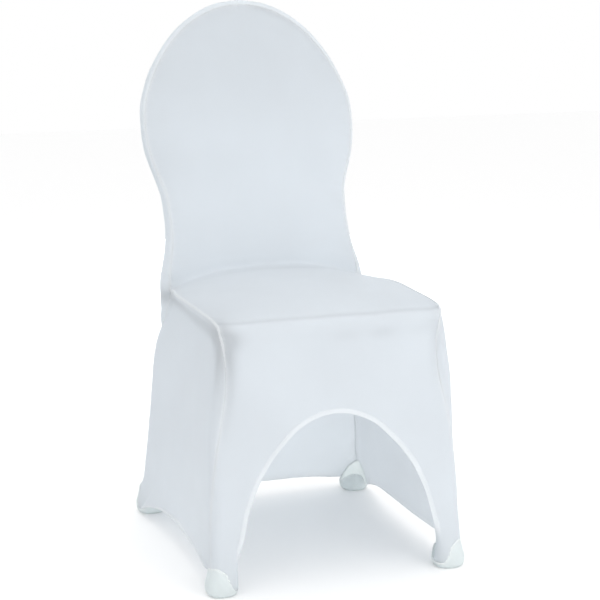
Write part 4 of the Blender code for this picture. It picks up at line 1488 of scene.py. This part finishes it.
def knit_material(name, color, seed, top_shade):
    """Taut fine-gauge stretch knit: loops in rows, a soft sheen, light showing through.

    The backrest's cloth is drawn darker towards its top by the share top_shade: painted shade.
    """
    result, tree, shader, body = new_material(name, KNIT_SURFACE)
    across, along = cloth_axes(tree)
    wales = math_node(tree, "SINE", times(tree, across, 2.0 * np.pi / WALE_PITCH))
    course = plus(tree, times(tree, along, 2.0 * np.pi / COURSE_PITCH), times(tree, wales, SWAY))
    loops = times(tree, math_node(tree, "SINE", course), 0.5)
    loops = plus(tree, loops, times(tree, wales, 0.5))
    streak = noise_node(tree, body, *STREAKS)
    cloud = noise_node(tree, body, CLOUDS[0] + seed, CLOUDS[1])
    grain = noise_node(tree, body, *FINE_GRAIN)
    firm = math_node(tree, "MAXIMUM", attribute_node(tree, "thin"), attribute_node(tree, "seam"))

    paler = toned(color, TONES[1])
    base = color_mix(tree, cloud, toned(color, TONES[0]), paler)
    base = color_mix(tree, times(tree, streak, STREAK_SHARE), base, paler)
    base = color_mix(tree, times(tree, firm, FIRM_PALENESS), base, FIRM_WHITE)
    # Painted shade: the cloth is drawn darker where its shade mark is set
    dim = times(tree, attribute_node(tree, "shade"), CREASE_SHADE)
    base = color_mix(tree, dim, base, toned(color, PAINTED_SHADE_TONE))
    # Painted shade: the cloth is drawn darker towards the top of the backrest
    if top_shade > 0.0:
        rising = tree.nodes.new("ShaderNodeMapRange")
        rising.interpolation_type = "SMOOTHSTEP"
        rising.inputs["From Min"].default_value, rising.inputs["From Max"].default_value = BACKREST_TOP_SHADE_HEIGHTS
        tree.links.new(split_axes(tree, body)[2], rising.inputs["Value"])
        top_shaded = color_mix(tree, 1.0 - top_shade, (0.0, 0.0, 0.0), base)
        base = color_mix(tree, rising.outputs["Result"], base, top_shaded)
    height = plus(tree, times(tree, loops, LOOP_RELIEF), times(tree, grain, GRAIN_RELIEF))
    finished(tree, shader, base, height, KNIT_RELIEF)
    share = math_node(tree, "SUBTRACT", SHINE_THROUGH, times(tree, firm, FIRM_LOSS))
    shown_through(tree, shader, base, share)
    return result


def thread_material(name, color):
    """Twisted filament thread: fine slanting plies with a soft shine."""
    result, tree, shader, body = new_material(name, THREAD_SURFACE)
    across, along = cloth_axes(tree)
    slant = plus(tree, times(tree, along, 2.0 * np.pi / PLY_PITCH), times(tree, across, 1.0 / PLY_SLANT))
    base = color_mix(tree, noise_node(tree, body, *THREAD_CLOUDS), toned(color, THREAD_TONE), color)
    finished(tree, shader, base, math_node(tree, "SINE", slant), THREAD_RELIEF)
    return result


def pocket_material(name, color, shine_through):
    """Firmer milky cloth, smooth and a little shiny, with fine crumples."""
    result, tree, shader, body = new_material(name, POCKET_SURFACE)
    crumple = noise_node(tree, body, *POCKET_CRUMPLES)
    grain = noise_node(tree, body, *POCKET_GRAIN)
    cloud = noise_node(tree, body, *POCKET_CLOUDS)
    base = color_mix(tree, cloud, toned(color, TONES[0]), color)
    height = plus(tree, crumple, times(tree, grain, POCKET_GRAIN_SHARE))
    finished(tree, shader, base, height, POCKET_RELIEF)
    shown_through(tree, shader, base, shine_through)
    return result


def all_finishes():
    """The cover's materials by name."""
    found = {}
    for seed, slot in enumerate(("front_spandex", "back_spandex", "left_spandex", "right_spandex")):
        # Only the front panel's cloth gets the painted shade towards the top of the backrest
        top_shade = BACKREST_TOP_SHADE if slot == "front_spandex" else 0.0
        # The back panel's paler white is painted light
        color = LIT_BACK_WHITE if slot == "back_spandex" else WHITE
        found[slot] = knit_material(slot, color, seed * SEED_STEP, top_shade)
    found["thread"] = thread_material("thread", THREAD_WHITE)
    found["pocket_cloth"] = pocket_material("pocket_cloth", MILKY, POCKET_SHINE)
    found["pocket_rim"] = pocket_material("pocket_rim", MILKY, RIM_SHINE)
    return found


def near_pocket(grid):
    """Points of a grid that lie at a foot pocket."""
    near = np.zeros(grid.shape[:2], dtype=bool)
    for foot in (FRONT_FOOT, REAR_FOOT):
        away = np.hypot(np.abs(grid[:, :, 0]) - foot[0], grid[:, :, 1] - foot[1])
        near |= (away < POCKET_REACH) & (grid[:, :, 2] < POCKET_TOP)
    return near


def hem_weights(grid):
    """How doubled the cloth is, by the distance from its hem; it is plain at the pockets."""
    weights = np.clip((HEM_WIDTH + HEM_STEP - hem_distance(grid)) / HEM_STEP, 0.0, 1.0)
    weights[near_pocket(grid)] = 0.0
    return weights


def panel_grids():
    """Grids of the panels' cloth, and the lines of their seams and of the seat's front edge."""
    across = half_across()
    upper, counts = upper_grid(across)
    lines = apron_lines(across)
    lines[:len(across), 0] = upper[-1]
    upper = whole_width(upper)
    apron = whole_width(np.swapaxes(lines, 0, 1))

    back_gaps = len(BACK_ROWS_BELOW) + len(CROWN_TURNS) - 1
    rim_rows = sum(counts[:back_gaps])
    seat_end = rim_rows + sum(counts[back_gaps:back_gaps + len(SEAT)])
    softened(upper, rim_rows, CREASE_ROWS, CREASE_PASSES)
    seam_curve = upper[rim_rows:seat_end + 1, -1][::-1]

    rear_parts = np.concatenate([REAR_PARTS, np.linspace(REAR_HEM_BEND, 0.0, REAR_WIDE_PARTS)])
    rows = back_panel_rows(np.array(RIM_PARTS), rear_parts)
    back_counts = counts[:back_gaps] + gap_counts(rows, LEG_STEP)[back_gaps:]
    back_counts[-1] = BACK_LAST_COUNT
    half = finer_rows(rows, back_counts)
    shift = upper[:rim_rows + 1, -1] - half[:rim_rows + 1, 0]
    fade = np.exp(-(edge_distance(half[:rim_rows + 1], "first") / RIM_FIT_REACH) ** 2)
    half[:rim_rows + 1] += shift[:, None] * fade[:, :, None]
    half[:, -1, 0] = 0.0

    leg_line = apron[0, apron.shape[1] // 2 + len(across) - 1:]
    grids = {
        "upper": upper,
        "apron": apron,
        "back": np.concatenate([half, half[:, -2::-1] * MIRROR], axis=1),
        "right": side_rows(seam_curve, RIGHT_HEM, False),
        "left": side_rows(seam_curve, LEFT_HEM, True) * MIRROR,
    }
    seams = {
        "front": np.concatenate([upper[:, -1], leg_line[1:]]),
        "rear": half[rim_rows:, 0],
        "edge": fine_line(upper[-1])[0],
        "rim_rows": rim_rows,
    }
    return grids, seams


def panel_pieces(grids, seams, finishes):
    """The four panels by name."""
    upper = grids["upper"]
    front_line = seams["front"]
    rim_line = front_line[:seams["rim_rows"] + 1]
    both = [front_line, seams["rear"]]
    apron = grids["apron"]
    whole = [(upper, np.zeros(upper.shape[:2]), UPPER_START), (apron, hem_weights(apron), APRON_START)]
    back = [(grids["back"], hem_weights(grids["back"]), BACK_START)]
    panels = [
        ("front", "front_cloth", 1.0, whole, [front_line], seams["edge"], 1),
        ("back", "back_cloth", 1.0, back, [rim_line, seams["rear"]], None, 2),
    ]
    for name, side in SIDES[::-1]:
        sheet = [(grids[name], hem_weights(grids[name]), SIDE_START)]
        panels.append((name, "side_cloth_" + name, side, sheet, both, None, 3))
    pieces = {}
    for name, title, side, sheets, lines, edge, seed in panels:
        mesh = cloth_mesh(title, side, sheets)
        relieved(mesh, lines, upper[-1, -1], edge, seed)
        pieces[name] = thickened(placed(title, mesh, finishes[name + "_spandex"]), HEM_CLOTH)
    return pieces


def pocket_grid(foot):
    """A foot pocket from its rim down to its sole, closed round."""
    turns, rim, flare = rim_turns(foot, POCKET_STATIONS)
    rows = []
    for level in np.linspace(1.0, 0.0, POCKET_ROWS):
        points = ring_points(foot, turns, POCKET_WALL_FOOT + (rim - POCKET_WALL_FOOT) * level)
        points[:, :2] += (flare * level ** 2)[:, None] * (points[:, :2] - np.array(foot))
        rows.append(points)
    for z in SOLE_HEIGHTS:
        rows.append(ring_points(foot, turns, np.full(len(turns), z)))
    centre = np.array([foot[0], foot[1], POCKET[0][0]])
    edge = rows[-1]
    for part in np.linspace(SOLE_FIRST, 0.0, SOLE_ROWS):
        rows.append(centre + (edge - centre) * part)
    return np.array(rows)


def pocket_ridge(foot, side):
    """Rolled rim of a foot pocket, all the way round."""
    turns, rim, flare = rim_turns(foot, RIM_STATIONS)
    line = ring_points(foot, turns, rim)
    line[:, :2] += flare[:, None] * (line[:, :2] - np.array(foot))
    way = line - np.array([foot[0], foot[1], 0.0])
    way[:, 2] = 0.0
    flip = np.array([side, 1.0, 1.0])
    path = ridge_path(line * flip, way * flip, np.ones(len(line)), 0.5 * CLOTH, closed=True)
    points, way, half_width, half_height, closed = path
    half_width = half_width * (POCKET_RIDGE[0] / RIDGE_HALF_WIDTH)
    half_height = half_height * (POCKET_RIDGE[1] / RIDGE_HALF_HEIGHT)
    return points, way, half_width, half_height, closed


def pocket_pieces(finishes):
    """The foot pockets by name, each with its rolled rim."""
    pieces = {}
    for end, foot in (("front", FRONT_FOOT), ("rear", REAR_FOOT)):
        for name, side in SIDES:
            title = "%s_%s" % (end, name)
            grid = pocket_grid(foot) * np.array([side, 1.0, 1.0])
            sheet = [(grid, np.zeros(grid.shape[:2]), POCKET_START)]
            mesh = cloth_mesh("pocket_" + title, -side * np.sign(foot[1]), sheet)
            crumpled(mesh, CRUMPLE_SEED)
            piece = thickened(placed("pocket_" + title, mesh, finishes["pocket_cloth"]), CLOTH)
            mesh = ridge_mesh("pocket_rim_" + title, [pocket_ridge(foot, side)])
            pieces[title] = (piece, placed("pocket_rim_" + title, mesh, finishes["pocket_rim"]))
    return pieces


def front_seam_path(grids, line):
    """Ridge of the front seam, down the rim of the backrest, the seat's side and the leg."""
    upper = grids["upper"]
    apron = grids["apron"]
    count = len(line) - len(upper)
    out = np.concatenate([
        grid_normals(upper, 1.0)[:, -2],
        grid_normals(apron, 1.0)[1, apron.shape[1] // 2:][-count:],
    ])
    ahead = np.gradient(line, axis=0)
    ahead /= np.maximum(np.linalg.norm(ahead, axis=1), 1e-9)[:, None]
    beside = -np.cross(ahead, out)
    on_leg = np.arange(len(line)) >= len(upper)
    outward = out + beside * np.where(on_leg, RIDGE_LEAN[0], RIDGE_LEAN[1])[:, None]
    height = line[:, 2]
    seat = SEAT_RIDGE[0] + SEAT_RIDGE[1] * step_up(-height, *SEAT_RIDGE_HEIGHTS)
    leg = LEG_RIDGE[0] + LEG_RIDGE[1] * (1.0 - step_up(upper[-1, -1, 2] - height, *LEG_RIDGE_DROPS))
    size = np.where(on_leg, leg, seat)
    shown = slice(FRONT_SKIP, None)
    return ridge_path(line[shown], outward[shown], size[shown], FRONT_RIDGE_LIFT, FRONT_SEED)


def trim_pieces(grids, seams, finishes):
    """Seam ridges and hem stitches, as the pieces that lie on each panel."""
    line = seams["rear"]
    out = grid_normals(grids["back"], 1.0)[seams["rim_rows"]:, 1]
    size, lift = REAR_RIDGE
    sizes = np.full(len(line) - REAR_SKIP, size)
    rear_path = ridge_path(line[REAR_SKIP:], out[REAR_SKIP:], sizes, lift, REAR_SEED)
    front_path = front_seam_path(grids, seams["front"])
    trims = {name: [] for name in ("front", "back", "left", "right")}
    for name, title, path in (("front", "front_seams", front_path), ("back", "rear_seams", rear_path)):
        mesh = ridge_mesh(title, both_sides(path))
        trims[name].append(placed(title, mesh, finishes[name + "_spandex"]))
    for name, title, grid, side in (
        ("front", "front_stitches", "apron", 1.0),
        ("back", "back_stitches", "back", 1.0),
        ("right", "side_stitches_right", "right", 1.0),
        ("left", "side_stitches_left", "left", -1.0),
    ):
        mesh = stitch_mesh(title, grids[grid], side)
        trims[name].append(placed(title, mesh, finishes["thread"]))
    return trims


finishes = all_finishes()
grids, seams = panel_grids()
panels = panel_pieces(grids, seams, finishes)
pockets = pocket_pieces(finishes)
trims = trim_pieces(grids, seams, finishes)

# Each cloth with its node and slot, the pieces that lie on it, and what its sheet says
cloths = []
for name, node, flat, area, under in PANELS:
    cloths.append((panels[name], node, name + "_spandex", trims[name], flat, area, [under]))
for name, (piece, rim) in pockets.items():
    beside = panels[name.split("_")[1]]
    node = "foot_pocket_" + name
    cloths.append((piece, node, "pocket_cloth", [rim], POCKET_FLAT, POCKET_AREA, [beside]))
for piece, node, slot, details, flat, area, rests_on in cloths:
    for part in [piece] + details:
        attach(part, "root")
        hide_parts(node)

# Floor, light and camera
floor_mesh = bpy.data.meshes.new("floor")
corners = [(x * FLOOR_HALF, y * FLOOR_HALF, 0.0) for x, y in ((-1, -1), (1, -1), (1, 1), (-1, 1))]
floor_mesh.from_pydata(corners, [], [(0, 1, 2, 3)])
floor = bpy.data.objects.new("floor", floor_mesh)
bpy.context.scene.collection.objects.link(floor)
floor.location = (0.0, 0.0, -HELD_AT[2] - FLOOR_DROP)
pale = bpy.data.materials.new("pale_floor")
pale.use_nodes = True
pale.node_tree.nodes["Principled BSDF"].inputs["Base Color"].default_value = FLOOR_PALE
pale.node_tree.nodes["Principled BSDF"].inputs["Roughness"].default_value = FLOOR_ROUGHNESS
floor_mesh.materials.append(pale)

world = bpy.data.worlds.new("studio")
bpy.context.scene.world = world
world.use_nodes = True
world.node_tree.nodes["Background"].inputs["Color"].default_value = STUDIO_WHITE
world.node_tree.nodes["Background"].inputs["Strength"].default_value = 1.0
bpy.context.scene.view_settings.view_transform = "Standard"


def aimed(item, place, target):
    """Puts a light or camera in its place, looking at its target."""
    bpy.context.scene.collection.objects.link(item)
    item.location = place
    item.rotation_euler = (Vector(target) - Vector(place)).to_track_quat("-Z", "Y").to_euler()


for name, place, target, side, power in LIGHTS:
    lamp = bpy.data.lights.new(name, "AREA")
    lamp.energy = power
    lamp.shape = "RECTANGLE"
    lamp.size = side
    lamp.size_y = side
    aimed(bpy.data.objects.new(name, lamp), place, target)

lens = bpy.data.cameras.new("camera")
lens.lens = CAMERA_LENS
lens.sensor_width = CAMERA_SENSOR
lens.dof.use_dof = False
camera = bpy.data.objects.new("camera", lens)
aimed(camera, CAMERA_AT, CAMERA_TARGET)
bpy.context.scene.camera = camera
